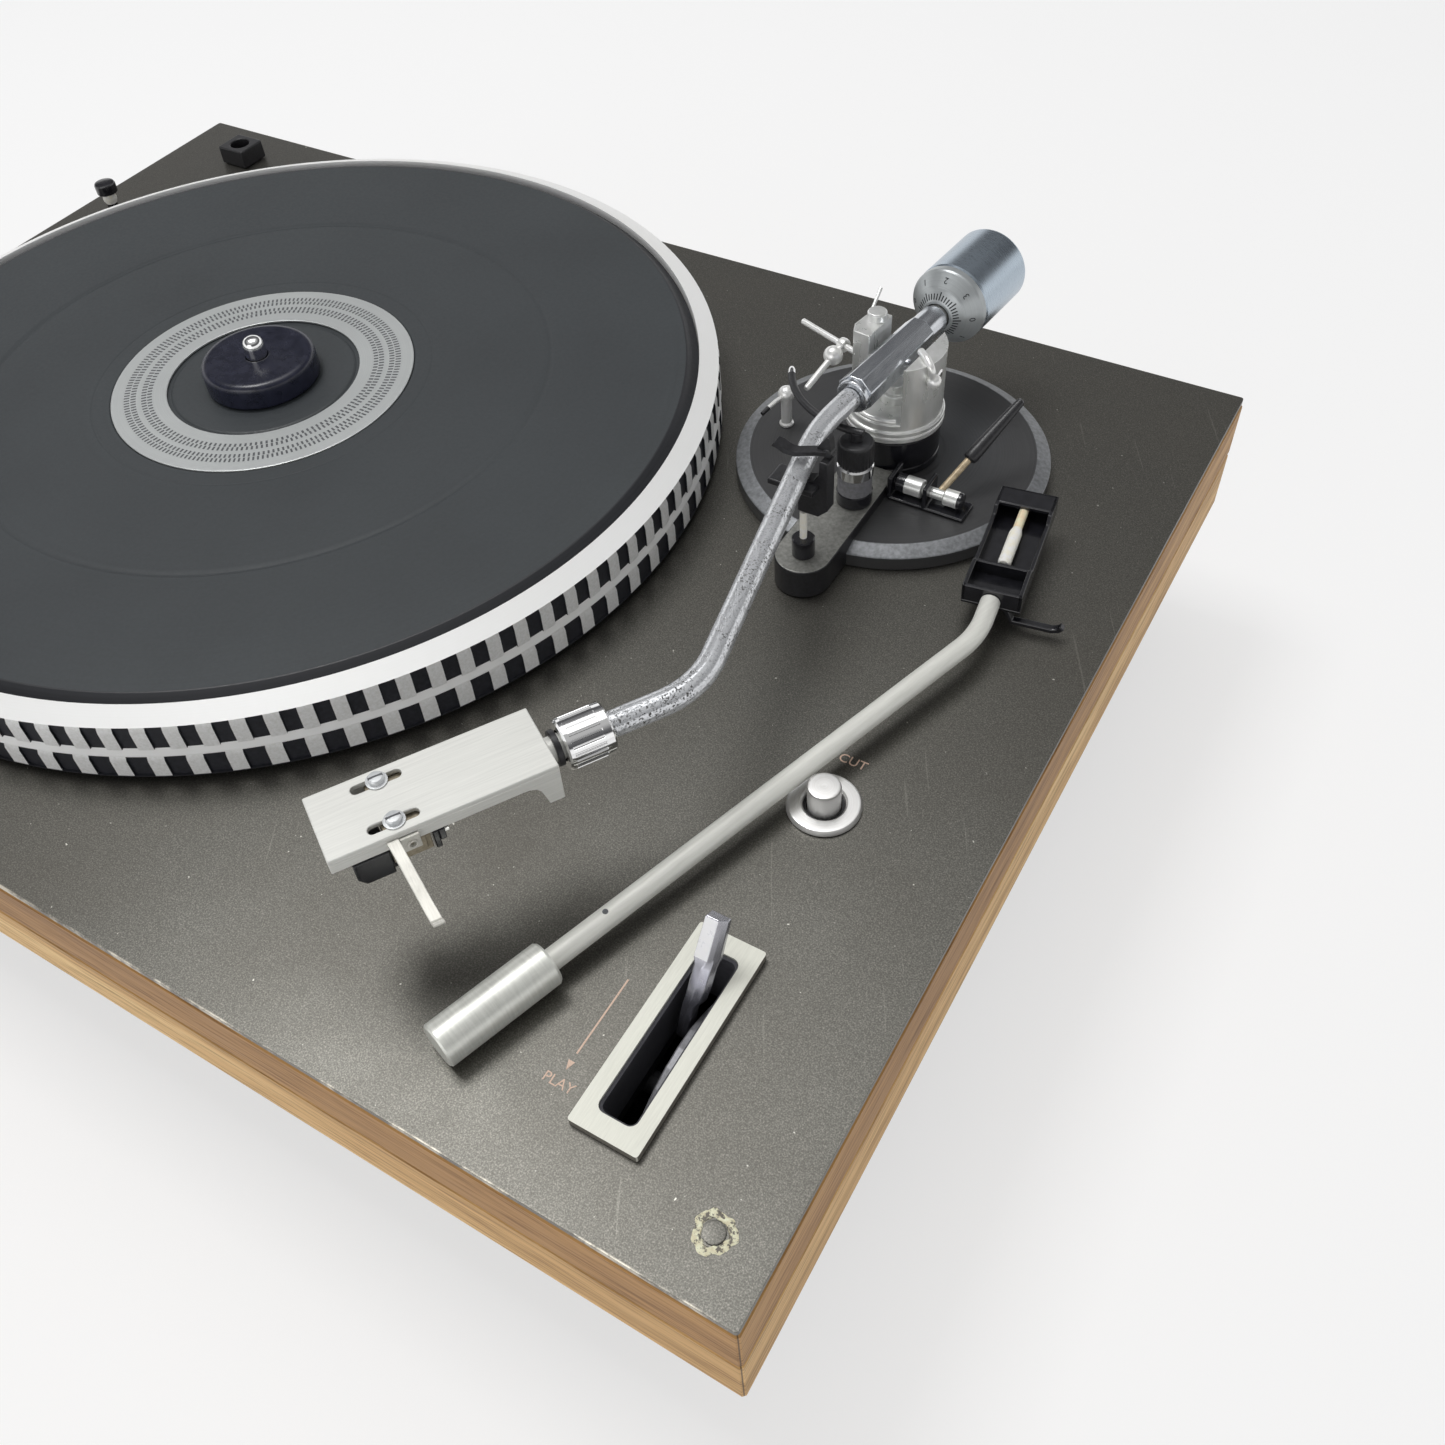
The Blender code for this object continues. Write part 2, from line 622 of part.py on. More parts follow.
def aimed(bm, start, direction):
    """Turns a shape made along Z so that it runs along a direction from its start."""
    turn = Vector(direction).to_track_quat("Z", "Y").to_matrix().to_4x4()
    bmesh.ops.transform(bm, matrix=Matrix.Translation(start) @ turn, verts=bm.verts)
    return bm


def box_bm(low, high):
    outline = [(low[0], low[1]), (high[0], low[1]), (high[0], high[1]), (low[0], high[1])]
    return prism_bm(outline, low[2], high[2])


def prism_bm(outline, start, end, along="Z"):
    """An outline drawn out along an axis. Its two values are the other two axes, in order."""
    rings = []
    for reach in (start, end):
        if along == "Z":
            ring = [Vector((a, b, reach)) for a, b in outline]
        elif along == "Y":
            ring = [Vector((a, reach, b)) for a, b in outline]
        else:
            ring = [Vector((reach, a, b)) for a, b in outline]
        rings.append(ring)
    return loft_bm(rings)


def rounded_rectangle(half_width, half_depth, corner, steps=4):
    outline = []
    for quarter, (side, end) in enumerate(((1, 1), (-1, 1), (-1, -1), (1, -1))):
        for step in range(steps + 1):
            angle = math.pi / 2 * (quarter + step / steps)
            x = side * (half_width - corner) + corner * math.cos(angle)
            y = end * (half_depth - corner) + corner * math.sin(angle)
            outline.append((x, y))
    return outline


def strip_outline(middle, thickness):
    """An outline of even thickness around a line of (x, z) points."""
    above = []
    below = []
    for i, point in enumerate(middle):
        before = Vector(middle[max(i - 1, 0)])
        after = Vector(middle[min(i + 1, len(middle) - 1)])
        along = (after - before).normalized()
        offset = Vector((-along.y, along.x)) * (thickness / 2)
        above.append(Vector(point) + offset)
        below.append(Vector(point) - offset)
    return above + below[::-1]


def bent_path(corners, bends, steps):
    """Points along straight runs, with each inner corner rounded to its bend radius."""
    path = [corners[0]]
    for before, corner, after, bend in zip(corners, corners[1:], corners[2:], bends):
        back = (before - corner).normalized()
        onward = (after - corner).normalized()
        half = back.angle(onward) / 2
        centre = corner + (back + onward).normalized() * (bend / math.sin(half))
        reach = bend / math.tan(half)
        first = (corner + back * reach - centre).normalized()
        last = (corner + onward * reach - centre).normalized()
        for step in range(steps + 1):
            path.append(centre + first.slerp(last, step / steps) * bend)
    path.append(corners[-1])
    return path


def swept_bm(path, radius, sides):
    """A round bar along a path that stays level."""
    rings = []
    for i, point in enumerate(path):
        along = (path[min(i + 1, len(path) - 1)] - path[max(i - 1, 0)]).normalized()
        side = along.cross(UP).normalized()
        lift = side.cross(along)
        angles = [math.tau * k / sides for k in range(sides)]
        rings.append([point + (side * math.cos(a) + lift * math.sin(a)) * radius for a in angles])
    return loft_bm(rings)


def heading(angle):
    """The level direction that -Y turns to by an angle about Z."""
    return Vector((math.sin(angle), -math.cos(angle), 0))


def frame_strip(name, finish, low, high):
    inner_x = SIDE - STRIP_WALL
    inner_y = BACK - STRIP_WALL
    outer = [(WIDTH / 2, DEPTH / 2), (-WIDTH / 2, DEPTH / 2), (-WIDTH / 2, -DEPTH / 2),
             (WIDTH / 2, -DEPTH / 2)]
    inner = [(inner_x, inner_y), (-inner_x, inner_y), (-inner_x, -inner_y), (inner_x, -inner_y)]
    rings = [[Vector((x, y, z)) for x, y in outline]
             for outline, z in ((outer, low), (outer, high), (inner, high), (inner, low))]
    made = new_object(name, loft_bm(rings, closed=True), finish)
    bevel(made, STRIP_BEVEL, 1)


def build_base_pan():
    half_width = SIDE - PAN_INSET
    half_depth = BACK - PAN_INSET
    rings = []
    for inset, height in ((0, PAN_BOTTOM), (0, PAN_TOP), (PAN_WALL, PAN_TOP),
                          (PAN_WALL, TRAY_FLOOR_TOP)):
        x = half_width - inset
        y = half_depth - inset
        rings.append([Vector((a, b, height)) for a, b in ((x, y), (-x, y), (-x, -y), (x, -y))])
    pan = new_object("base_pan", loft_bm(rings), "black_plastic")
    hole = rod_bm(GLAND_NECK_RADIUS + GAP, -OVERRUN, PAN_WALL + OVERRUN, SMALL_STEPS)
    cut(pan, aimed(hole, gland_place(), (0, 1, 0)))


def build_feet():
    profile = [(FOOT_TOE_RADIUS, 0), (FOOT_RADIUS, FOOT_TOE_HEIGHT), (FOOT_RADIUS, FOOT_HEIGHT)]
    x = SIDE - FOOT_FROM_SIDE
    y = BACK - FOOT_FROM_FRONT
    for name, place in (("foot_front_left", (-x, -y, 0)), ("foot_front_right", (x, -y, 0)),
                        ("foot_rear_left", (-x, y, 0)), ("foot_rear_right", (x, y, 0))):
        new_object(name, turned_bm(profile, SMALL_STEPS), "black_rubber", location=place)


def gland_place():
    """On the inner face of the pan's rear wall."""
    return (GLAND_X, BACK - PAN_INSET - PAN_WALL, GLAND_HEIGHT)


def build_gland():
    shoulder = PAN_WALL + GAP
    end = PAN_WALL + GLAND_REACH
    profile = [(GLAND_BORE, -GLAND_TAIL), (GLAND_NECK_RADIUS, -GLAND_TAIL), (GLAND_NECK_RADIUS, shoulder),
               (GLAND_RADIUS, shoulder), (GLAND_RADIUS, end), (GLAND_BORE, end)]
    gland = aimed(turned_bm(profile, SMALL_STEPS, closed=True), (0, 0, 0), (0, 1, 0))
    new_object("cord_gland", gland, "black_rubber", location=gland_place())


def build_transformer():
    width, depth, height = TRANSFORMER_SIZE
    bottom = TRAY_FLOOR_TOP + GAP
    made = new_object("transformer", box_bm((-width / 2, -depth / 2, bottom),
                                            (width / 2, depth / 2, bottom + height)),
                      "steel", location=(*TRANSFORMER_PLACE, 0))
    bevel(made, TRANSFORMER_BEVEL, 1)


def slot_bm(half_width, half_length, corner, low, high):
    return prism_bm(rounded_rectangle(half_width, half_length, corner), low, high)


def build_deck(deck):
    plate = new_object("deck_plate",
                       prism_bm(rounded_rectangle(SIDE - DECK_INSET, BACK - DECK_INSET,
                                                  DECK_CORNER), -DECK_THICKNESS, 0),
                       "deck_grey", deck)
    low = -DECK_THICKNESS - OVERRUN
    holes = [(PLATTER_X, PLATTER_Y, MOTOR_RADIUS + MOTOR_HOLE_CLEARANCE, ROUND_STEPS),
             (PIVOT_X, PIVOT_Y, PILLAR_RADIUS + PILLAR_DECK_CLEARANCE, SMALL_STEPS),
             (BUTTON_X, BUTTON_Y, BUTTON_RADIUS + GAP, SMALL_STEPS)]
    for x, y, radius, steps in holes:
        cut(plate, rod_bm(radius, low, OVERRUN, steps), deck, (x, y, 0))
    cut(plate, slot_bm(BEZEL_SLOT_HALF_WIDTH + DECK_SLOT_MARGIN,
                       BEZEL_SLOT_HALF_LENGTH + DECK_SLOT_MARGIN, BEZEL_SLOT_CORNER, low, OVERRUN),
        deck, (LEVER_X, LEVER_Y, 0))


def drum_axle_place():
    return (LEVER_X, LEVER_Y, -DRUM_DEPTH)


def build_board(deck):
    half_width = SIDE - STRIP_WALL - GAP
    half_depth = BACK - STRIP_WALL - GAP
    board = new_object("deck_board", slot_bm(half_width, half_depth, BOARD_CORNER, BOARD_BOTTOM, BOARD_TOP),
                       "particle_board", deck)
    for side in (-1, 1):
        near = side * LUG_INNER
        far = side * (LUG_INNER + LUG_THICKNESS)
        lug = box_bm((min(near, far), -LUG_HALF_DEPTH, -DRUM_DEPTH - LUG_BELOW_AXLE),
                     (max(near, far), LUG_HALF_DEPTH, BOARD_BOTTOM + OVERRUN))
        join(board, lug, deck, (LEVER_X, LEVER_Y, 0))
    low = BOARD_BOTTOM - OVERRUN
    high = BOARD_TOP + OVERRUN
    holes = [(PLATTER_X, PLATTER_Y, MOTOR_RADIUS + MOTOR_HOLE_CLEARANCE, ROUND_STEPS),
             (PIVOT_X, PIVOT_Y, PILLAR_RADIUS + PILLAR_DECK_CLEARANCE, SMALL_STEPS),
             (BUTTON_X, BUTTON_Y, BUTTON_RADIUS + BUTTON_BOARD_CLEARANCE, SMALL_STEPS)]
    for x, y, radius, steps in holes:
        cut(board, rod_bm(radius, low, high, steps), deck, (x, y, 0))
    cut(board, slot_bm(BEZEL_SLOT_HALF_WIDTH + BOARD_SLOT_MARGIN, BOARD_SLOT_HALF_LENGTH,
                       BEZEL_SLOT_CORNER, low, high), deck, (LEVER_X, LEVER_Y, 0))
    reach = LUG_INNER + LUG_THICKNESS + OVERRUN
    axle_hole = aimed(rod_bm(AXLE_RADIUS + AXLE_CLEARANCE, -reach, reach, SMALL_STEPS), (0, 0, 0),
                      (1, 0, 0))
    cut(board, axle_hole, deck, drum_axle_place())


def build_motor(motor):
    inner = MOTOR_RADIUS - MOTOR_WALL
    profile = [(BOSS_BORE, MOTOR_BOTTOM), (MOTOR_RADIUS, MOTOR_BOTTOM), (MOTOR_RADIUS, FLANGE_BOTTOM),
               (FLANGE_RADIUS, FLANGE_BOTTOM), (FLANGE_RADIUS, FLANGE_TOP), (MOTOR_RADIUS, FLANGE_TOP),
               (MOTOR_RADIUS, MOTOR_RIM), (inner, MOTOR_RIM), (inner, FLANGE_BOTTOM),
               (BOSS_RADIUS, FLANGE_BOTTOM), (BOSS_RADIUS, MOTOR_RIM), (BOSS_BORE, MOTOR_RIM)]
    new_object("motor_housing", turned_bm(profile, ROUND_STEPS, closed=True), "steel", motor)
    new_object("bearing_sleeve", tube_bm(SLEEVE_BORE, SLEEVE_BORE + SLEEVE_WALL, MOTOR_BOTTOM + GAP,
                                         MOTOR_RIM + SLEEVE_PROUD, SMALL_STEPS), "bronze", motor)
    build_coils(motor)


def build_coils(motor):
    """A ring whose top rises over each winding."""
    sections = []
    low = COIL_TOP - COIL_THICKNESS
    for i in range(ROUND_STEPS):
        angle = math.tau * i / ROUND_STEPS
        out = Vector((math.cos(angle), math.sin(angle), 0))
        bump = COIL_BUMP * max(0.0, math.cos(COIL_COUNT * angle))
        middle = (COIL_INNER + COIL_OUTER) / 2
        points = [(COIL_INNER, low), (COIL_OUTER, low), (COIL_OUTER, COIL_TOP), (middle, COIL_TOP + bump),
                  (COIL_INNER, COIL_TOP)]
        sections.append([out * radius + UP * height for radius, height in points])
    new_object("stator_coils", loft_bm(sections, closed=True), "copper", motor)


def build_rotor_and_spindle(spin):
    hub_top = ROTOR_TOP
    rim_top = ROTOR_BOTTOM + ROTOR_THICKNESS
    profile = [(BORE, ROTOR_BOTTOM), (ROTOR_RADIUS, ROTOR_BOTTOM), (ROTOR_RADIUS, rim_top),
               (ROTOR_HUB_RADIUS, rim_top), (ROTOR_HUB_RADIUS - ROTOR_HUB_TAPER, hub_top), (BORE, hub_top)]
    new_object("rotor", turned_bm(profile, ROUND_STEPS, closed=True), "magnet", spin)
    shoulder = SPINDLE_TOP - SPINDLE_TIP
    profile = [(SPINDLE_RADIUS, MOTOR_BOTTOM), (SPINDLE_RADIUS, shoulder),
               (SPINDLE_RADIUS * 0.75, shoulder + SPINDLE_TIP * 0.7), (SPINDLE_RADIUS * 0.3, SPINDLE_TOP)]
    new_object("spindle", turned_bm(profile, SMALL_STEPS), "steel", spin)


def build_platter(spin):
    lip_top = PLATTER_LIFT + FOOT_LIP
    bead_low = lip_top + LOWER_BAND_HEIGHT
    bead_high = bead_low + BEAD_HEIGHT
    rim_low = bead_high + UPPER_BAND_HEIGHT
    inner = PLATTER_RADIUS - PLATTER_WALL
    recess = PLATTER_RADIUS - BAND_RECESS
    mat_hole = PLATTER_RADIUS - RIM_SLOPE_WIDTH
    profile = [(BORE, WEB_BOTTOM), (inner, WEB_BOTTOM), (inner, PLATTER_LIFT),
               (PLATTER_RADIUS, PLATTER_LIFT), (PLATTER_RADIUS, lip_top), (recess, lip_top),
               (recess, bead_low), (PLATTER_RADIUS, bead_low + BEAD_ROUND),
               (PLATTER_RADIUS, bead_high - BEAD_ROUND), (recess, bead_high), (recess, rim_low),
               (PLATTER_RADIUS, rim_low), (mat_hole, PLATTER_TOP), (mat_hole, MAT_SEAT), (BORE, MAT_SEAT)]
    new_object("platter", turned_bm(profile, LARGE_STEPS, closed=True), "cast_white", spin)


def build_mat(spin):
    edge = PLATTER_RADIUS - RIM_SLOPE_WIDTH - GAP
    seat = LABEL_RADIUS + GAP
    low = MAT_SEAT + GAP
    profile = [(BORE, low), (edge, low), (edge, PLATTER_TOP - MAT_BEVEL_DROP),
               (edge - MAT_BEVEL_WIDTH, PLATTER_TOP), (seat, PLATTER_TOP), (seat, LABEL_SEAT),
               (BORE, LABEL_SEAT)]
    new_object("platter_mat", turned_bm(profile, LARGE_STEPS, closed=True), "black_rubber", spin)
    new_object("strobe_label", tube_bm(LABEL_INNER_RADIUS, LABEL_RADIUS, LABEL_BOTTOM,
                                       LABEL_BOTTOM + LABEL_THICKNESS, ROUND_STEPS),
               "satin_aluminium", spin)


def build_adapter(spin):
    top = LABEL_BOTTOM + ADAPTER_HEIGHT
    profile = [(BORE, LABEL_BOTTOM), (ADAPTER_RADIUS, LABEL_BOTTOM), (ADAPTER_RADIUS, top - ADAPTER_ROUND),
               (ADAPTER_RADIUS - ADAPTER_ROUND, top), (BORE, top)]
    new_object("adapter_45", turned_bm(profile, ROUND_STEPS, closed=True), "black_plastic", spin)


def tongue_outline(margin):
    """The arm rest bracket seen from above: straight sides from the pillar collar to a round end."""
    half = TONGUE_HALF_WIDTH + margin
    start = -TONGUE_START + margin
    outline = [(half, start), (-half, start)]
    for step in range(SMALL_STEPS // 2 + 1):
        angle = math.pi + math.pi * step / (SMALL_STEPS // 2)
        outline.append((half * math.cos(angle), -TONGUE_END + half * math.sin(angle)))
    return outline


def build_arm_base(pillar):
    top_radius = DISC_RADIUS - DISC_CHAMFER_WIDTH
    profile = [(PILLAR_RADIUS + PILLAR_CLEARANCE, GAP), (DISC_RADIUS, GAP), (DISC_RADIUS, GAP + DISC_EDGE),
               (top_radius, DISC_TOP), (PILLAR_RADIUS + PILLAR_CLEARANCE, DISC_TOP)]
    disc = new_object("arm_base_disc", turned_bm(profile, ROUND_STEPS, closed=True), "grey_disc", pillar)
    cut(disc, prism_bm(tongue_outline(GAP), GAP - OVERRUN, DISC_TOP + OVERRUN), pillar)
    new_object("arm_rest_bracket", prism_bm(tongue_outline(0), GAP, TONGUE_TOP), "grey_disc", pillar)
    new_object("pillar_collar", tube_bm(PILLAR_RADIUS + PILLAR_CLEARANCE, COLLAR_RADIUS, ON_DISC,
                                        COLLAR_TOP, ROUND_STEPS), "black_plastic", pillar)


def build_arm_shaft(arm):
    shaft = new_object("arm_shaft", rod_bm(PILLAR_RADIUS, RETURN_LEVER_BOTTOM, COLLAR_TOP, SMALL_STEPS),
                       "steel", arm)
    half = RETURN_LEVER_HALF_WIDTH
    middle = (PILLAR_RADIUS - RETURN_LEVER_LENGTH) / 2
    outline = rounded_rectangle((PILLAR_RADIUS + RETURN_LEVER_LENGTH) / 2 + half / 2, half, half / 2)
    lever = prism_bm([(x + middle, y) for x, y in outline], RETURN_LEVER_BOTTOM,
                     RETURN_LEVER_BOTTOM + RETURN_LEVER_THICKNESS)
    join(shaft, lever, arm)


def build_yoke(arm, swing):
    """A round base with a tall part of its rim left standing on the right and a block on the left."""
    ring = COLLAR_RADIUS + YOKE_RING_EDGE
    profile = [(ring, YOKE_BOTTOM), (ring, YOKE_BOTTOM + YOKE_RING_HEIGHT),
               (COLLAR_RADIUS, YOKE_BOTTOM + YOKE_RING_HEIGHT), (COLLAR_RADIUS, YOKE_TOP)]
    yoke = new_object("yoke", turned_bm(profile, ROUND_STEPS), "satin_aluminium", arm)
    reach = COLLAR_RADIUS + OVERRUN
    cut(yoke, box_bm((-reach, -reach, YOKE_SLOT_BOTTOM),
                     (YOKE_SLOT_HALF_WIDTH, reach, YOKE_TOP + OVERRUN)), arm)
    small = YOKE_BOSS_RADIUS - YOKE_BOSS_STEP
    middle = YOKE_SLOT_BOTTOM + YOKE_BOSS_HEIGHT / 2
    boss = turned_bm([(YOKE_BOSS_RADIUS, YOKE_SLOT_BOTTOM - OVERRUN), (YOKE_BOSS_RADIUS, middle),
                      (small, middle), (small, YOKE_SLOT_BOTTOM + YOKE_BOSS_HEIGHT)], SMALL_STEPS)
    join(yoke, boss, arm)
    join(yoke, prism_bm(YOKE_LEFT_OUTLINE, YOKE_SLOT_BOTTOM - OVERRUN, YOKE_LEFT_TOP), arm)
    cap = rod_bm(YOKE_CAP_RADIUS, YOKE_LEFT_TOP - OVERRUN, YOKE_LEFT_TOP + YOKE_CAP_HEIGHT, SMALL_STEPS)
    join(yoke, cap, arm, (*YOKE_CAP_PLACE, 0))
    hole = rod_bm(PIVOT_SCREW_RADIUS + PIVOT_SCREW_CLEARANCE, -reach, reach, SMALL_STEPS)
    cut(yoke, aimed(hole, (0, 0, PIVOT_HEIGHT), (1, 0, 0)), arm)
    join(yoke, aimed(rod_bm(SKATE_ROD_RADIUS, -SKATE_ROD_INSET, SKATE_ROD_LENGTH, TINY_STEPS), (0, 0, 0),
                     (-1, 0, 0)), swing)


def build_pivot_screws(arm):
    tip = HOUSING_FRONT_FLATS / 2 + PIVOT_TIP_GAP
    end = COLLAR_RADIUS + PIVOT_SCREW_PROUD
    profile = [(PIVOT_SCREW_RADIUS / 2, tip), (PIVOT_SCREW_RADIUS, tip + PIVOT_SCREW_RADIUS),
               (PIVOT_SCREW_RADIUS, end - PIVOT_SCREW_PROUD), (PIVOT_SCREW_RADIUS / 2, end)]
    for name, side in (("left_pivot_screw", -1), ("right_pivot_screw", 1)):
        screw = aimed(turned_bm(profile, SMALL_STEPS), (0, 0, PIVOT_HEIGHT), (side, 0, 0))
        new_object(name, screw, "chrome", arm)


def octagon(flats, height):
    ring = []
    for i in range(16):
        radius = flats / 2 / (math.cos(math.pi / 8) if i % 2 else 1)
        angle = math.tau * i / 16
        ring.append(Vector((radius * math.cos(angle), radius * math.sin(angle), height)))
    return ring


def build_arm_body(pitch, line):
    ring_front = -HOUSING_FRONT - HOUSING_RING_LENGTH
    rings = [circle(HOUSING_RING_RADIUS, ring_front, 16), circle(HOUSING_RING_RADIUS, -HOUSING_FRONT, 16),
             octagon(HOUSING_FRONT_FLATS, -HOUSING_FRONT), octagon(HOUSING_BACK_FLATS, HOUSING_BACK)]
    new_object("bearing_housing", loft_bm(rings), "satin_aluminium", line)
    new_object("rear_shaft", rod_bm(REAR_SHAFT_RADIUS, REAR_SHAFT_START, REAR_SHAFT_END, SMALL_STEPS),
               "satin_aluminium", line)
    corners = [Vector((0, -TUBE_START, 0)), first_corner(), second_corner(),
               second_corner() + heading(TUBE_SHELL_TURN) * (COLLAR_REAR_FROM_CORNER + TUBE_IN_LOCK)]
    path = bent_path(corners, (TUBE_FIRST_BEND, TUBE_SECOND_BEND), 7)
    new_object("arm_tube", swept_bm(path, TUBE_RADIUS, SMALL_STEPS), "chrome", pitch,
               (0, 0, ARM_HEIGHT - PIVOT_HEIGHT))


def first_corner():
    return Vector((0, -TUBE_FIRST_CORNER, 0))


def second_corner():
    return first_corner() + heading(TUBE_OUTWARD_TURN) * TUBE_MIDDLE_RUN


def shell_place():
    """The point on the arm's line at the front face of the locking collar."""
    return second_corner() + heading(TUBE_SHELL_TURN) * LOCK_FRONT_FROM_CORNER


def build_balance(line):
    bore = WEIGHT_BORE
    dial = [(bore, DIAL_START), (DIAL_FRONT_RADIUS, DIAL_START), (WEIGHT_RADIUS, DIAL_END), (bore, DIAL_END)]
    new_object("force_dial", turned_bm(dial, ROUND_STEPS, closed=True), "steel", line)
    edge = WEIGHT_RADIUS - WEIGHT_EDGE
    weight = [(bore, REAR_SHAFT_END + GAP), (bore, WEIGHT_START), (edge, WEIGHT_START),
              (WEIGHT_RADIUS, WEIGHT_START + WEIGHT_EDGE), (WEIGHT_RADIUS, WEIGHT_END - WEIGHT_EDGE),
              (edge, WEIGHT_END)]
    new_object("counterweight", turned_bm(weight, ROUND_STEPS), "chrome", line)


def build_locking_collar(shell):
    bore = TUBE_RADIUS + LOCK_BORE_CLEARANCE
    ribs = 2 * LOCK_RIBS
    rings = [circle(bore, 0, ribs), circle(LOCK_RADIUS - LOCK_EDGE, 0, ribs)]
    for height in (LOCK_EDGE, LOCK_LENGTH - LOCK_EDGE):
        ring = []
        for i, point in enumerate(circle(LOCK_RADIUS, height, ribs)):
            share = 1 - (i % 2) * LOCK_GROOVE / LOCK_RADIUS
            ring.append(Vector((point.x * share, point.y * share, height)))
        rings.append(ring)
    rings += [circle(LOCK_RADIUS - LOCK_EDGE, LOCK_LENGTH, ribs), circle(bore, LOCK_LENGTH, ribs)]
    new_object("locking_collar", aimed(loft_bm(rings, closed=True), (0, 0, 0), (0, 1, 0)), "chrome", shell)


def build_headshell(shell):
    half = SHELL_HALF_WIDTH
    inner = half - SHELL_PLATE
    under = PLATE_UNDERSIDE
    foot = SHELL_TOP - SHELL_FLANGE
    channel = [(-half, foot), (-half, SHELL_TOP), (half, SHELL_TOP), (half, foot), (inner, foot),
               (inner, under), (-inner, under), (-inner, foot)]
    made = new_object("headshell", prism_bm(channel, -SHELL_FRONT, -SHELL_BACK, "Y"), "satin_aluminium",
                      shell)
    join(made, box_bm((-SHELL_REAR_HALF_WIDTH, -SHELL_BACK - SHELL_REAR_WALL, SHELL_TOP - SHELL_REAR_DROP),
                      (SHELL_REAR_HALF_WIDTH, -SHELL_BACK - SHELL_EDGE, SHELL_TOP - SHELL_EDGE)), shell)
    plug = rod_bm(TUBE_RADIUS, -SHELL_BACK - SHELL_REAR_WALL / 2, PLUG_END, SMALL_STEPS)
    join(made, aimed(plug, (0, 0, 0), (0, 1, 0)), shell)
    for side in (-1, 1):
        slot = slot_bm(SLOT_HALF_WIDTH, SLOT_LENGTH / 2, SLOT_HALF_WIDTH - SHELL_EDGE,
                       under - OVERRUN, SHELL_TOP + OVERRUN)
        cut(made, slot, shell, (side * SLOT_X, -SLOT_BACK - SLOT_LENGTH / 2, 0))


def build_cartridge(shell):
    top = PLATE_UNDERSIDE - GAP
    mount = new_object("cartridge_mount", box_bm((-MOUNT_HALF_WIDTH, -MOUNT_FRONT, CARTRIDGE_TOP + GAP),
                                                 (MOUNT_HALF_WIDTH, -MOUNT_BACK, top)), "bronze", shell)
    body = new_object("cartridge", box_bm((-CARTRIDGE_HALF_WIDTH, -CARTRIDGE_FRONT, CARTRIDGE_BOTTOM),
                                          (CARTRIDGE_HALF_WIDTH, -MOUNT_BACK, CARTRIDGE_TOP)),
                      "black_plastic", shell)
    bevel(body, CARTRIDGE_EDGE, 2)
    for side in (-1, 1):
        cut(mount, rod_bm(SCREW_HOLE_RADIUS, top - SCREW_HOLE_DEPTH, top + OVERRUN, TINY_STEPS), shell,
            (side * SLOT_X, -SCREW_Y, 0))


def rectangle(half_width, front, back, height):
    return [Vector((half_width, front, height)), Vector((-half_width, front, height)),
            Vector((-half_width, back, height)), Vector((half_width, back, height))]


def build_stylus(shell):
    top = CARTRIDGE_BOTTOM - GAP
    tip = top + GAP - STYLUS_DROP
    tip_front = -STYLUS_TIP_Y - STYLUS_TIP_HALF_WIDTH
    rings = [rectangle(STYLUS_HALF_WIDTH, -STYLUS_BLOCK_FRONT, -STYLUS_BLOCK_BACK, top),
             rectangle(STYLUS_HALF_WIDTH - STYLUS_TAPER, -STYLUS_BLOCK_FRONT + STYLUS_TAPER,
                       -STYLUS_BLOCK_BACK - STYLUS_TAPER, top - STYLUS_BLOCK),
             rectangle(STYLUS_TIP_HALF_WIDTH, tip_front, tip_front + 2 * STYLUS_TIP_HALF_WIDTH, tip)]
    new_object("stylus", loft_bm(rings), "black_plastic", shell)


def build_finger_lift(shell):
    start = SHELL_HALF_WIDTH + GAP
    top = PLATE_UNDERSIDE - LIFT_THICKNESS / 2
    end = start + LIFT_REACH
    middle = [(start, top), (start + LIFT_REACH * 0.3, top - LIFT_DROP * 0.2),
              (start + LIFT_REACH * 0.62, top - LIFT_DROP * 0.75), (end - LIFT_CURL, top - LIFT_DROP),
              (end, top - LIFT_DROP + LIFT_CURL)]
    new_object("finger_lift", prism_bm(strip_outline(middle, LIFT_THICKNESS), -SCREW_Y - LIFT_WIDTH / 2,
                                       -SCREW_Y + LIFT_WIDTH / 2, "Y"), "satin_aluminium", shell)


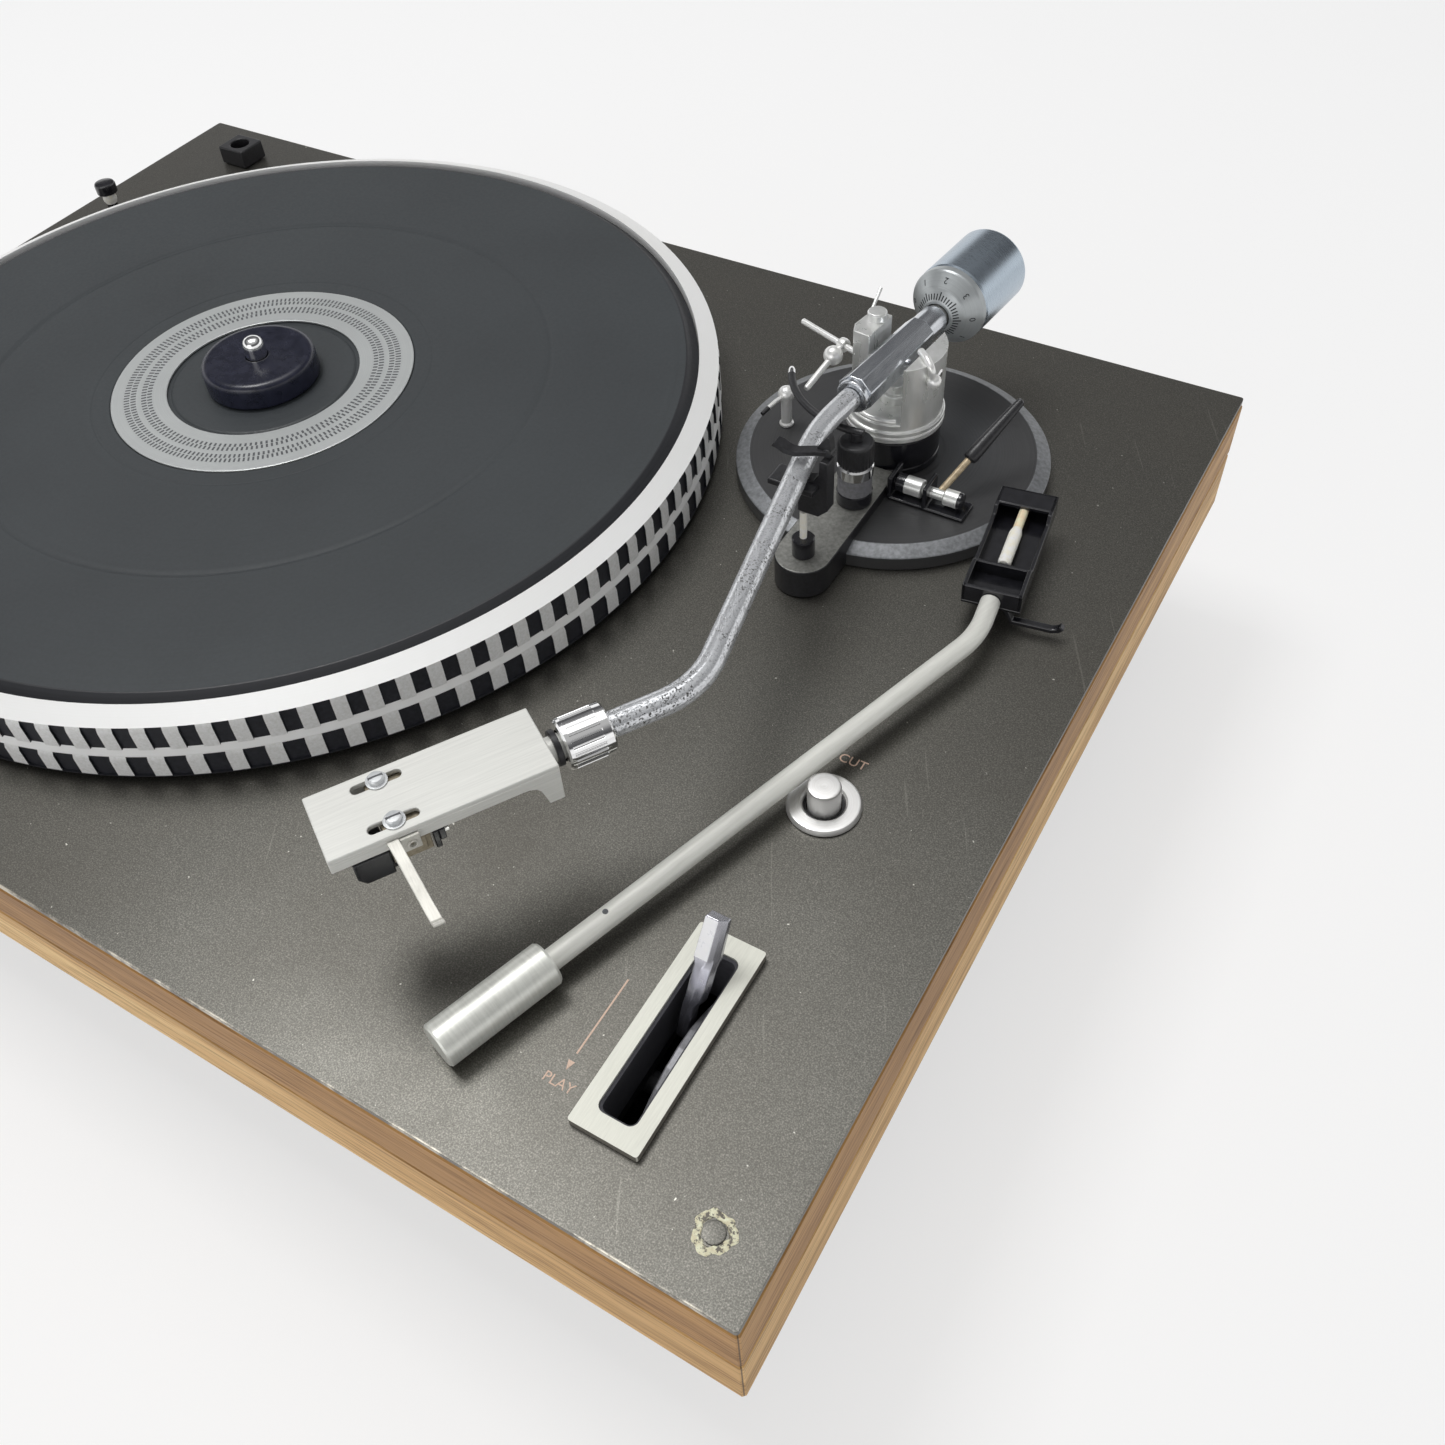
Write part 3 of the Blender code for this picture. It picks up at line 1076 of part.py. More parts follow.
def build_lifter(pillar):
    bore = PISTON_RADIUS + PISTON_CLEARANCE
    floor = LIFTER_TOP - LIFTER_SOCKET
    profile = [(bore, floor), (bore, LIFTER_TOP), (LIFTER_RADIUS, LIFTER_TOP), (LIFTER_RADIUS, LIFTER_FOOT)]
    place = (LIFTER_X, -LIFTER_Y, 0)
    new_object("lifter_cylinder", turned_bm(profile, SMALL_STEPS), "black_plastic", pillar, place)
    knob_top = KNOB_BOTTOM + KNOB_HEIGHT
    bar = [(PISTON_RADIUS, floor + GAP), (PISTON_RADIUS, KNOB_BOTTOM), (LIFTER_RADIUS, KNOB_BOTTOM),
           (LIFTER_RADIUS, knob_top - KNOB_EDGE), (LIFTER_RADIUS - KNOB_EDGE, knob_top),
           (NECK_RADIUS, knob_top), (NECK_RADIUS, LIFTER_ROD_HEIGHT)]
    made = new_object("lifter_bar", turned_bm(bar, SMALL_STEPS), "black_plastic", pillar, place)
    path = []
    for step in range(SMALL_STEPS // 2 + 1):
        angle = LIFTER_ARC_START + (LIFTER_ARC_END - LIFTER_ARC_START) * step / (SMALL_STEPS // 2)
        path.append(heading(-angle) * LIFTER_Y + UP * LIFTER_ROD_HEIGHT)
    join(made, swept_bm(path, LIFTER_ROD_RADIUS, TINY_STEPS), pillar)


def build_cue(pillar, cue):
    low = ON_DISC
    ear_top = low + CUE_PLATE + CUE_EAR_RISE + CUE_AXIS_RISE
    profile = [(CUE_LEFT_EAR, low), (CUE_PLATE_END, low), (CUE_PLATE_END, low + CUE_PLATE),
               (CUE_RIGHT_EAR + CUE_EAR, low + CUE_PLATE), (CUE_RIGHT_EAR + CUE_EAR, ear_top),
               (CUE_RIGHT_EAR, ear_top), (CUE_RIGHT_EAR, low + CUE_PLATE),
               (CUE_LEFT_EAR + CUE_EAR, low + CUE_PLATE), (CUE_LEFT_EAR + CUE_EAR, ear_top),
               (CUE_LEFT_EAR, ear_top)]
    bracket = new_object("cue_bracket", prism_bm(profile, -CUE_Y - CUE_BRACKET_HALF_DEPTH,
                                                 -CUE_Y + CUE_BRACKET_HALF_DEPTH, "Y"),
                         "black_plastic", pillar)
    hole = rod_bm(CUE_SHAFT_RADIUS + GAP, 0, CUE_PLATE_END, SMALL_STEPS)
    cut(bracket, aimed(hole, (0, -CUE_Y, CUE_AXIS_HEIGHT), (1, 0, 0)), pillar)
    barrel_start = CUE_LEFT_EAR + CUE_EAR + GAP
    shaft = [(CUE_SHAFT_RADIUS, CUE_LEFT_EAR), (CUE_SHAFT_RADIUS, barrel_start),
             (CUE_BARREL_RADIUS, barrel_start), (CUE_BARREL_RADIUS, CUE_BARREL_END),
             (CUE_SHAFT_RADIUS, CUE_BARREL_END), (CUE_SHAFT_RADIUS, CUE_SHAFT_END),
             (CUE_CAP_RADIUS, CUE_SHAFT_END), (CUE_CAP_RADIUS, CUE_CAP_END)]
    lever = new_object("cue_lever", aimed(turned_bm(shaft, SMALL_STEPS), (0, 0, 0), (1, 0, 0)), "steel", cue)
    start = Vector((CUE_ROD_X, 0, 0))
    along = Vector(CUE_ROD_DIRECTION).normalized()
    join(lever, aimed(rod_bm(CUE_ROD_RADIUS, 0, CUE_ROD_LENGTH, TINY_STEPS), start, along), cue)
    grip_start = start + along * (CUE_ROD_LENGTH + GAP)
    grip = turned_bm([(CUE_GRIP_RADIUS * 0.7, 0), (CUE_GRIP_RADIUS, CUE_GRIP_RADIUS),
                      (CUE_GRIP_TIP_RADIUS, CUE_GRIP_LENGTH), (CUE_GRIP_TIP_RADIUS * 0.5,
                                                              CUE_GRIP_LENGTH + CUE_GRIP_TIP_RADIUS)],
                     TINY_STEPS)
    new_object("cue_grip", aimed(grip, grip_start, along), "black_plastic", cue)


def build_arm_rest(pillar, clamp):
    place = (0, -TONGUE_END, 0)
    collar_top = ON_TONGUE + POST_COLLAR_HEIGHT
    post = [(POST_COLLAR_RADIUS, ON_TONGUE), (POST_COLLAR_RADIUS, collar_top), (POST_RADIUS, collar_top),
            (POST_RADIUS, POST_TOP)]
    new_object("arm_rest_post", turned_bm(post, SMALL_STEPS), "cream", pillar, place)
    saddle_low = SADDLE_TOP - REST_SADDLE_THICKNESS
    outline = [(-REST_STEM_HALF_WIDTH, REST_BOTTOM), (REST_FOOT_RIGHT, REST_BOTTOM),
               (REST_WALL_OUTER, REST_BOTTOM + REST_SHOULDER), (REST_WALL_OUTER, REST_WALL_TOP),
               (REST_WALL_INNER, REST_WALL_TOP), (REST_WALL_INNER, SADDLE_TOP),
               (-REST_STEM_HALF_WIDTH, SADDLE_TOP)]
    place = (0, REST_Y, 0)
    rest = new_object("arm_rest", prism_bm(outline, -REST_HALF_DEPTH, REST_HALF_DEPTH, "Y"),
                      "black_plastic", pillar, place)
    join(rest, box_bm((-REST_LEFT, -REST_SADDLE_FRONT, saddle_low),
                      (REST_WALL_INNER - GAP, REST_HALF_DEPTH - GAP, SADDLE_TOP - GAP)), pillar, place)
    build_clamp(clamp)


def build_clamp(clamp):
    """A bar that slants across the tube to a finger tab, its hinge barrel, and a fin above the barrel."""
    half = CLAMP_HALF_DEPTH
    bar = prism_bm(strip_outline(CLAMP_LINE, CLAMP_THICKNESS), -half, half, "Y")
    for vert in bar.verts:
        vert.co.y += vert.co.x * CLAMP_SLANT
    made = new_object("arm_clamp", bar, "black_plastic", clamp)
    join(made, aimed(rod_bm(CLAMP_HINGE_RADIUS, -half, half, SMALL_STEPS), (0, 0, 0), (0, 1, 0)), clamp)
    join(made, prism_bm(CLAMP_FIN, -half + GAP, half - GAP, "Y"), clamp)


def ball_profile(radius, height):
    """Turned points of a ball from near its bottom to near its top."""
    angles = [math.pi * (step / 8 - 0.5) * 0.93 for step in range(9)]
    return [(radius * math.cos(a), height + radius * math.sin(a)) for a in angles]


def build_antiskate(swing):
    eye_place = Vector((-SKATE_WEIGHT_X, 0, 0))
    out = Vector(SKATE_BALL_DIRECTION).normalized()
    ball = aimed(turned_bm(ball_profile(SKATE_BALL_RADIUS, SKATE_BALL_OUT), TINY_STEPS), eye_place, out)
    weight = new_object("antiskate_weight", ball, "chrome", swing)
    rod = rod_bm(SKATE_TIP_RADIUS, 0, SKATE_BALL_RADIUS + SKATE_TIP_LENGTH, TINY_STEPS)
    join(weight, aimed(rod, eye_place + out * SKATE_BALL_OUT, SKATE_TIP_DIRECTION), swing)
    eye = rod_bm(SKATE_EYE_RADIUS, -SKATE_EYE_HALF_WIDTH, SKATE_EYE_HALF_WIDTH, TINY_STEPS)
    join(weight, aimed(eye, eye_place, (1, 0, 0)), swing)
    reach = SKATE_BALL_RADIUS + OVERRUN
    hole = rod_bm(SKATE_ROD_RADIUS + SKATE_EYE_CLEARANCE, -reach, reach, TINY_STEPS)
    cut(weight, aimed(hole, eye_place, (1, 0, 0)), swing)


def build_thread_post(pillar):
    place = (-THREAD_POST_X, -THREAD_POST_Y, 0)
    ball = ball_profile(THREAD_BALL_RADIUS, THREAD_BALL_HEIGHT)
    stem_top = ball[2]
    profile = [(THREAD_POST_RADIUS, ON_DISC), (THREAD_POST_RADIUS, stem_top[1] - GAP)] + ball[2:]
    post = new_object("thread_post", turned_bm(profile, TINY_STEPS), "steel", pillar, place)
    back = Vector((*THREAD_ROD_BACK, THREAD_BALL_HEIGHT))
    front = Vector((-THREAD_ROD_FRONT[0], -THREAD_ROD_FRONT[1], THREAD_BALL_HEIGHT))
    rod = rod_bm(THREAD_ROD_RADIUS, 0, (front - back).length, TINY_STEPS)
    join(post, aimed(rod, back, front - back), pillar, place)


def build_cut_button(deck):
    place = (BUTTON_X, BUTTON_Y, 0)
    profile = [(BUTTON_RADIUS, -BUTTON_DEPTH), (BUTTON_RADIUS, BUTTON_TOP - BUTTON_EDGE),
               (BUTTON_RADIUS - BUTTON_EDGE, BUTTON_TOP)]
    new_object("cut_button", turned_bm(profile, SMALL_STEPS), "satin_aluminium", deck, place)
    top = GAP + BUTTON_FLANGE_HEIGHT
    flange = [(BUTTON_FLANGE_BORE, GAP), (BUTTON_FLANGE_RADIUS, GAP),
              (BUTTON_FLANGE_RADIUS - BUTTON_FLANGE_SLOPE, top), (BUTTON_FLANGE_BORE, top)]
    new_object("cut_flange", turned_bm(flange, ROUND_STEPS, closed=True), "satin_aluminium", deck, place)


def build_bezel(deck):
    rings = []
    outer = rounded_rectangle(BEZEL_HALF_WIDTH, BEZEL_HALF_LENGTH, BEZEL_CORNER)
    inner = rounded_rectangle(BEZEL_SLOT_HALF_WIDTH, BEZEL_SLOT_HALF_LENGTH, BEZEL_SLOT_CORNER)
    for outline, height in ((outer, GAP), (outer, GAP + BEZEL_HEIGHT), (inner, GAP + BEZEL_HEIGHT),
                            (inner, GAP)):
        rings.append([Vector((x, y, height)) for x, y in outline])
    new_object("lever_bezel", loft_bm(rings, closed=True), "satin_aluminium", deck, (LEVER_X, LEVER_Y, 0))


def build_play_lever(lever):
    """The drum with its axle, and the lever beside it. Their frame is on the axle."""
    drum_end = DRUM_SIDE + DRUM_THICKNESS
    axle_end = LUG_INNER + LUG_THICKNESS - AXLE_END_GAP
    edge = DRUM_RADIUS - DRUM_EDGE
    profile = [(AXLE_RADIUS, -axle_end), (AXLE_RADIUS, DRUM_SIDE), (edge, DRUM_SIDE),
               (DRUM_RADIUS, DRUM_SIDE + DRUM_EDGE), (DRUM_RADIUS, drum_end - DRUM_EDGE), (edge, drum_end),
               (AXLE_RADIUS, drum_end), (AXLE_RADIUS, axle_end)]
    new_object("play_drum", aimed(turned_bm(profile, ROUND_STEPS), (0, 0, 0), (1, 0, 0)), "black_plastic",
               lever)
    along = Vector((0, LEVER_TIP[0] - LEVER_BASE[0], LEVER_TIP[1] - LEVER_BASE[1])).normalized()
    across = Vector((0, along.z, -along.y))
    foot_right = DRUM_SIDE - GAP
    stem = LEVER_STEM_RADIUS
    sections = [(LEVER_BASE, -LEVER_FOOT_LEFT, foot_right, LEVER_FOOT_HALF_DEPTH),
                (LEVER_FOOT_SHOULDER, -LEVER_FOOT_LEFT, foot_right, LEVER_FOOT_HALF_DEPTH),
                ((LEVER_FOOT_SHOULDER[0] + stem / 2, LEVER_FOOT_SHOULDER[1] + stem), -stem, stem, stem),
                (LEVER_PADDLE, -stem, stem, stem),
                (LEVER_TIP, -LEVER_PADDLE_HALF_WIDTH, LEVER_PADDLE_HALF_WIDTH, LEVER_PADDLE_HALF_THICKNESS)]
    rings = []
    for place, left, right, half_depth in sections:
        centre = Vector(((left + right) / 2, place[0], place[1]))
        outline = rounded_rectangle((right - left) / 2, half_depth, min(half_depth, (right - left) / 2) * 0.7, 3)
        rings.append([centre + Vector((x, 0, 0)) + across * y for x, y in outline])
    new_object("play_lever", loft_bm(rings), "satin_aluminium", lever)


def build_lamp(deck):
    lens = ball_profile(LAMP_LENS_RADIUS, LAMP_LENS_HEIGHT)
    hood_edge = LAMP_HOOD_RADIUS - LAMP_EDGE
    profile = [(LAMP_STEM_RADIUS, GAP), (LAMP_STEM_RADIUS, lens[2][1] - GAP)] + lens[2:7]
    profile += [(LAMP_STEM_RADIUS, LAMP_HOOD_BOTTOM), (LAMP_HOOD_RADIUS, LAMP_HOOD_BOTTOM),
                (LAMP_HOOD_RADIUS, LAMP_HOOD_TOP - LAMP_EDGE), (hood_edge, LAMP_HOOD_TOP)]
    new_object("strobe_lamp", turned_bm(profile, SMALL_STEPS), "black_plastic", deck, (LAMP_X, LAMP_Y, 0))


def build_holder(deck):
    place = (HOLDER_X, HOLDER_Y, 0)
    block = new_object("headshell_holder", box_bm((-HOLDER_HALF_WIDTH, -HOLDER_HALF_DEPTH, GAP),
                                                  (HOLDER_HALF_WIDTH, HOLDER_HALF_DEPTH,
                                                   GAP + HOLDER_HEIGHT)), "black_plastic", deck, place)
    bevel(block, HOLDER_EDGE, 1)
    cut(block, rod_bm(HOLDER_BORE, GAP - OVERRUN, GAP + HOLDER_HEIGHT + OVERRUN, SMALL_STEPS), deck, place)


def build_speed_knob(deck):
    top = GAP + SPEED_KNOB_HEIGHT
    profile = [(SPEED_KNOB_RADIUS, GAP), (SPEED_KNOB_RADIUS, top - SPEED_KNOB_EDGE),
               (SPEED_KNOB_RADIUS - SPEED_KNOB_EDGE, top)]
    new_object("speed_knob", turned_bm(profile, ROUND_STEPS), "satin_aluminium", deck, (KNOB_X, KNOB_Y, 0))


def build_cleaner(cleaner, head):
    bore = CLEANER_TUBE_RADIUS + CLEANER_TUBE_CLEARANCE
    edge = CLEANER_WEIGHT_RADIUS - CLEANER_WEIGHT_EDGE
    end = CLEANER_WEIGHT_LENGTH
    bore_floor = end - CLEANER_BORE_DEPTH
    profile = [(edge, 0), (CLEANER_WEIGHT_RADIUS, CLEANER_WEIGHT_EDGE),
               (CLEANER_WEIGHT_RADIUS, end - CLEANER_WEIGHT_EDGE), (edge, end), (bore, end),
               (bore, bore_floor)]
    new_object("cleaner_weight", aimed(turned_bm(profile, SMALL_STEPS), (0, 0, 0), (0, 1, 0)),
               "satin_aluminium", cleaner)
    corner = Vector((0, CLEANER_CORNER, 0))
    tube_end = corner + Vector((-math.sin(CLEANER_TURN), math.cos(CLEANER_TURN), 0)) * CLEANER_LAST_RUN
    path = bent_path([Vector((0, bore_floor + GAP, 0)), corner, tube_end], (CLEANER_BEND,), 6)
    new_object("cleaner_tube", swept_bm(path, CLEANER_TUBE_RADIUS, SMALL_STEPS), "satin_aluminium", cleaner)
    build_cleaner_head(head)


def build_cleaner_head(head):
    top = HEAD_BOTTOM + HEAD_HEIGHT
    floor = HEAD_BOTTOM + HEAD_WALL
    inner = HEAD_HALF_WIDTH - HEAD_WALL
    place = (HEAD_SHIFT, GAP, 0)
    made = new_object("cleaner_head", box_bm((-HEAD_HALF_WIDTH, 0, HEAD_BOTTOM),
                                             (HEAD_HALF_WIDTH, HEAD_LENGTH, top)),
                      "black_plastic", head, place)
    for near, far in ((HEAD_WALL, HEAD_CROSS_WALL_Y),
                      (HEAD_CROSS_WALL_Y + HEAD_WALL, HEAD_LENGTH - HEAD_WALL)):
        cut(made, box_bm((-inner, near, floor), (inner, far, top + OVERRUN)), head, place)
    join(made, box_bm((-HEAD_HALF_WIDTH + GAP, HEAD_LENGTH - HEAD_BAR, top - HEAD_BAR_THICKNESS),
                      (HEAD_HALF_WIDTH - GAP, HEAD_LENGTH - GAP, top - GAP)), head, place)
    low = HEAD_BOTTOM - HOOK_DROP
    middle = [(HOOK_ROOT_X, HEAD_BOTTOM + HOOK_THICKNESS / 2), (HOOK_ELBOW_X, low), (HOOK_FLAT_X, low),
              (HOOK_REACH, low + HOOK_CURL)]
    join(made, prism_bm(strip_outline(middle, HOOK_THICKNESS), GAP, HOOK_WIDTH, "Y"), head, place)
    start = HEAD_CROSS_WALL_Y + HEAD_WALL + GAP
    thick_end = start + PIN_THICK_LENGTH
    pin = turned_bm([(PIN_THICK_RADIUS, start), (PIN_THICK_RADIUS, thick_end), (PIN_THIN_RADIUS, thick_end),
                     (PIN_THIN_RADIUS, HEAD_LENGTH - HEAD_WALL - GAP)], TINY_STEPS)
    height = floor + GAP + PIN_THICK_RADIUS
    new_object("cleaner_pin", aimed(pin, (0, 0, height), (0, 1, 0)), "cream", head, place)


def build_case(deck):
    build_base_pan()
    build_feet()
    build_gland()
    build_transformer()
    frame_strip("plinth_lower_frame", "walnut_light", LOWER_STRIP_BOTTOM, LOWER_STRIP_TOP)
    frame_strip("plinth_upper_frame", "walnut_dark", UPPER_STRIP_BOTTOM, UPPER_STRIP_TOP)
    build_deck(deck)
    build_board(deck)


def build_drive(deck):
    spin = new_empty("platter_axis", (PLATTER_X, PLATTER_Y, 0), deck)
    build_motor(spin)
    build_rotor_and_spindle(spin)
    build_platter(spin)
    build_mat(spin)
    build_adapter(spin)


def build_tonearm(deck):
    pillar = new_empty("pillar_axis", (PIVOT_X, PIVOT_Y, 0), deck)
    arm = new_empty("arm_axis", (0, 0, 0), pillar, (0, 0, ARM_TURN))
    pitch = new_empty("arm_pitch_axis", (0, 0, PIVOT_HEIGHT), arm)
    line = new_empty("arm_line", (0, 0, ARM_HEIGHT - PIVOT_HEIGHT), pitch, (-math.pi / 2, 0, 0))
    shell = new_empty("shell_axis", shell_place() + UP * (ARM_HEIGHT - PIVOT_HEIGHT), pitch,
                      (0, 0, TUBE_SHELL_TURN))
    swing = new_empty("antiskate_axis", SKATE_PLACE, arm, (0, 0, SKATE_TURN))
    cue = new_empty("cue_axis", (0, -CUE_Y, CUE_AXIS_HEIGHT), pillar)
    clamp = new_empty("clamp_axis", (CLAMP_HINGE_X, CLAMP_HINGE_Y, CLAMP_HEIGHT), pillar)
    build_arm_base(pillar)
    build_arm_shaft(arm)
    build_yoke(arm, swing)
    build_pivot_screws(arm)
    build_arm_body(pitch, line)
    build_balance(line)
    build_locking_collar(shell)
    build_headshell(shell)
    build_cartridge(shell)
    build_stylus(shell)
    build_finger_lift(shell)
    build_lifter(pillar)
    build_cue(pillar, cue)
    build_arm_rest(pillar, clamp)
    build_antiskate(swing)
    build_thread_post(pillar)


def build_controls(deck):
    build_cut_button(deck)
    build_bezel(deck)
    build_play_lever(new_empty("play_axis", drum_axle_place(), deck))
    build_lamp(deck)
    build_holder(deck)
    build_speed_knob(deck)


def build_cleaning_arm(deck):
    height = CLEANER_WEIGHT_RADIUS + GAP
    cleaner = new_empty("cleaner_frame", (CLEANER_X, CLEANER_Y, height), deck,
                        (CLEANER_TILT, 0, CLEANER_HEADING))
    onward = Vector((-math.sin(CLEANER_TURN), math.cos(CLEANER_TURN), 0))
    tube_end = Vector((0, CLEANER_CORNER, 0)) + onward * CLEANER_LAST_RUN
    head = new_empty("cleaner_head_frame", tube_end, cleaner, (0, 0, CLEANER_TURN))
    build_cleaner(cleaner, head)


def build_turntable():
    clear_scene()
    deck = new_empty("deck_frame", (0, 0, DECK_TOP))
    build_case(deck)
    build_drive(deck)
    build_tonearm(deck)
    build_controls(deck)
    build_cleaning_arm(deck)


build_turntable()
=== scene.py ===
"""The looks of the direct drive turntable: finer pieces, procedural materials, light and camera.

Pieces are drawn in millimetres in a local frame, and each frame is set in metres where the model has it.
"""

from math import acos, atan2, cos, degrees, pi, radians, sin, tan, tau

import bmesh
import bpy
from mathutils import Matrix, Vector
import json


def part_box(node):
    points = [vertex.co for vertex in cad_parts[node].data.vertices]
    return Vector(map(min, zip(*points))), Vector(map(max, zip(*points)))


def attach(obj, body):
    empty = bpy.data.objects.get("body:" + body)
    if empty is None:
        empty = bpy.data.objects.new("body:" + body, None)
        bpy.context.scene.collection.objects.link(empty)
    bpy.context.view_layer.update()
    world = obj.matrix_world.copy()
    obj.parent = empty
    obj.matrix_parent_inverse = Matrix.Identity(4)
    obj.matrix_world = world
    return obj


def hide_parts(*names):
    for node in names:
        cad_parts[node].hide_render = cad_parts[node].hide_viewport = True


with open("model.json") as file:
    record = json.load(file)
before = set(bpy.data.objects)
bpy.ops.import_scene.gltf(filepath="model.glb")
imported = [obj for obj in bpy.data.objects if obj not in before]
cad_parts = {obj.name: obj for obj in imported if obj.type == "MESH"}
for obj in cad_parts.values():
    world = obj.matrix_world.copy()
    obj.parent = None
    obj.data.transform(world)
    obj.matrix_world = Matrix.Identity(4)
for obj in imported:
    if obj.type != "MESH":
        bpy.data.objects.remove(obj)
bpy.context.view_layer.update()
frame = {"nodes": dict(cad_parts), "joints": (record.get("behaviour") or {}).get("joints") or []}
JOINT_AT = {joint["name"]: Vector(joint["pos_m"]) for joint in frame["joints"] if "pos_m" in joint}

# Camera, as the photograph was taken
CAMERA_PLACE = (0.290595, -0.241712, 0.387373)
CAMERA_RIGHT = (0.85751, 0.51151, -0.05497)
CAMERA_UP = (-0.35299, 0.66273, 0.66044)
CAMERA_BACK = (0.37426, -0.54693, 0.74886)
CAMERA_LENS = 33.954
CAMERA_SENSOR = 36.0
CAMERA_SHIFT = (0.0150, -0.0171)

# Sizes of the case in metres, turns of the arm, and the frames that pieces are drawn in
MM = 0.001
DECK_TOP = 0.098
HALF_WIDTH = 0.240
HALF_DEPTH = 0.1734
ARM_TURN = radians(-5.8)
SHELL_TURN = radians(-32.1)
SKATE_TURN = radians(-19.4)
ARM_LINE_HEIGHT = 43 * MM
PIVOT_PLACE = JOINT_AT["arm_yaw"]
PLAY_PLACE = JOINT_AT["play_turn"]

shift = Matrix.Translation


def rotation(angle, axis="Z"):
    return Matrix.Rotation(angle, 4, axis)


def frame_of(place, x_axis, y_axis, z_axis):
    return shift(place) @ Matrix((x_axis, y_axis, z_axis)).transposed().to_4x4()


MODEL = Matrix.Identity(4)
DECK = shift((0, 0, DECK_TOP))
SPIN = shift(JOINT_AT["platter_spin"])
PILLAR = shift(PIVOT_PLACE)
ARM = PILLAR @ rotation(ARM_TURN)
LINE = ARM @ shift((0, 0, ARM_LINE_HEIGHT))
LINE_BACK = LINE @ rotation(-pi / 2, "X")
SHELL = shift(JOINT_AT["collar_turn"]) @ rotation(SHELL_TURN)
SHELL_AXIS = SHELL @ rotation(-pi / 2, "X")
SWING = shift(JOINT_AT["antiskate_swing"]) @ rotation(SKATE_TURN)
CUE = shift(JOINT_AT["cue_turn"])
CLAMP = shift(JOINT_AT["clamp_open"])
PLAY = shift(PLAY_PLACE)
KNOB = shift(JOINT_AT["speed_turn"])
CUT = shift((0.1942, -0.0478, DECK_TOP))
LAMP = shift((-0.219, 0.0891, DECK_TOP))
HOLDER = shift((-0.2024, 0.1509, DECK_TOP))
PAD = shift((0.2254, -0.158, DECK_TOP))
POST = PILLAR @ shift((-0.0366, -0.0045, 0))
CLEANER_UP = (-0.00619, -0.01872, 0.99981)
CLEANER = frame_of((0.1502, -0.1549, 0.10415), (0.94943, -0.31399, 0),
                   (0.31393, 0.94924, 0.01972), CLEANER_UP)
CLEANER_HEAD = frame_of((0.20575, 0.03295, 0.10801), (0.98975, 0.14255, 0.0088),
                        (-0.14268, 0.98961, 0.01765), CLEANER_UP)


# Node trees

def linear(colour):
    """A colour given as on a screen, 0 to 255, as the shader counts it."""
    shares = [value / 255 for value in colour]
    return (*[s / 12.92 if s <= 0.04045 else ((s + 0.055) / 1.055) ** 2.4 for s in shares], 1.0)


def feed(node, inputs):
    """A socket that is put in is linked, and a tuple is a colour as on a screen."""
    for key, value in inputs.items():
        if isinstance(value, bpy.types.NodeSocket):
            node.id_data.links.new(value, node.inputs[key])
        else:
            node.inputs[key].default_value = linear(value) if isinstance(value, tuple) else value


def add(kind, inputs, tree=None, **settings):
    """A node, in the tree that its inputs come from if none is named."""
    if tree is None:
        tree = next(value.id_data for value in inputs.values() if isinstance(value, bpy.types.NodeSocket))
    node = tree.nodes.new("ShaderNode" + kind)
    for key, value in settings.items():
        setattr(node, key, value)
    feed(node, inputs)
    return node


def coords(shader, kind="Object"):
    return add("TexCoord", {}, shader.id_data).outputs[kind]


def axes(shader, kind="Object"):
    return add("SeparateXYZ", {"Vector": coords(shader, kind)}).outputs


def local(shader, place=MODEL, stretch=(1, 1, 1)):
    """Object coordinates seen from a local frame, with each axis stretched."""
    inputs = {"Vector": coords(shader), "Location": place.translation, "Rotation": place.to_euler(),
              "Scale": [1 / value for value in stretch]}
    return add("Mapping", inputs, vector_type="TEXTURE").outputs["Vector"]


def noise(vector, scale, detail=4, rough=0.55):
    inputs = {"Vector": vector, "Scale": scale, "Detail": detail, "Roughness": rough}
    return add("TexNoise", inputs).outputs["Fac"]


def ramp(value, stops, count=linear):
    node = add("ValToRGB", {"Fac": value})
    points = node.color_ramp.elements
    while len(points) < len(stops):
        points.new(0.5)
    for point, (place, colour) in zip(points, stops):
        point.position = place
        point.color = count(colour)
    return node.outputs["Color"]


def spread(value, low, high, start=0.3, end=0.7):
    inputs = {"Value": value, "From Min": start, "From Max": end, "To Min": low, "To Max": high}
    return add("MapRange", inputs).outputs["Result"]


def mixed(share, first, second, blend="MIX"):
    """Two colours mixed. Numbers 6 and 7 are the node's colour inputs, and 2 its colour output."""
    return add("Mix", {0: share, 6: first, 7: second}, data_type="RGBA", blend_type=blend).outputs[2]


def sums(operation, first, second=0.0):
    return add("Math", {0: first, 1: second}, operation=operation).outputs["Value"]


def times(first, second):
    return sums("MULTIPLY", first, second)


def distance(value, middle):
    return sums("ABSOLUTE", sums("SUBTRACT", value, middle))


def shade(shader, colour, rough, metal=0, coat=0):
    feed(shader, {"Base Color": colour, "Roughness": rough, "Metallic": metal, "Coat Weight": coat})


def bump(shader, height, strength, depth, before=None):
    """A relief whose depth is in millimetres, on top of one that was made before."""
    inputs = {"Height": height, "Strength": strength, "Distance": depth * MM}
    if before is not None:
        inputs["Normal"] = before
    normal = add("Bump", inputs).outputs["Normal"]
    feed(shader, {"Normal": normal})
    return normal


# Finishes. Each takes its colours, its roughness from and to, and how metallic it is

MATERIALS = {}


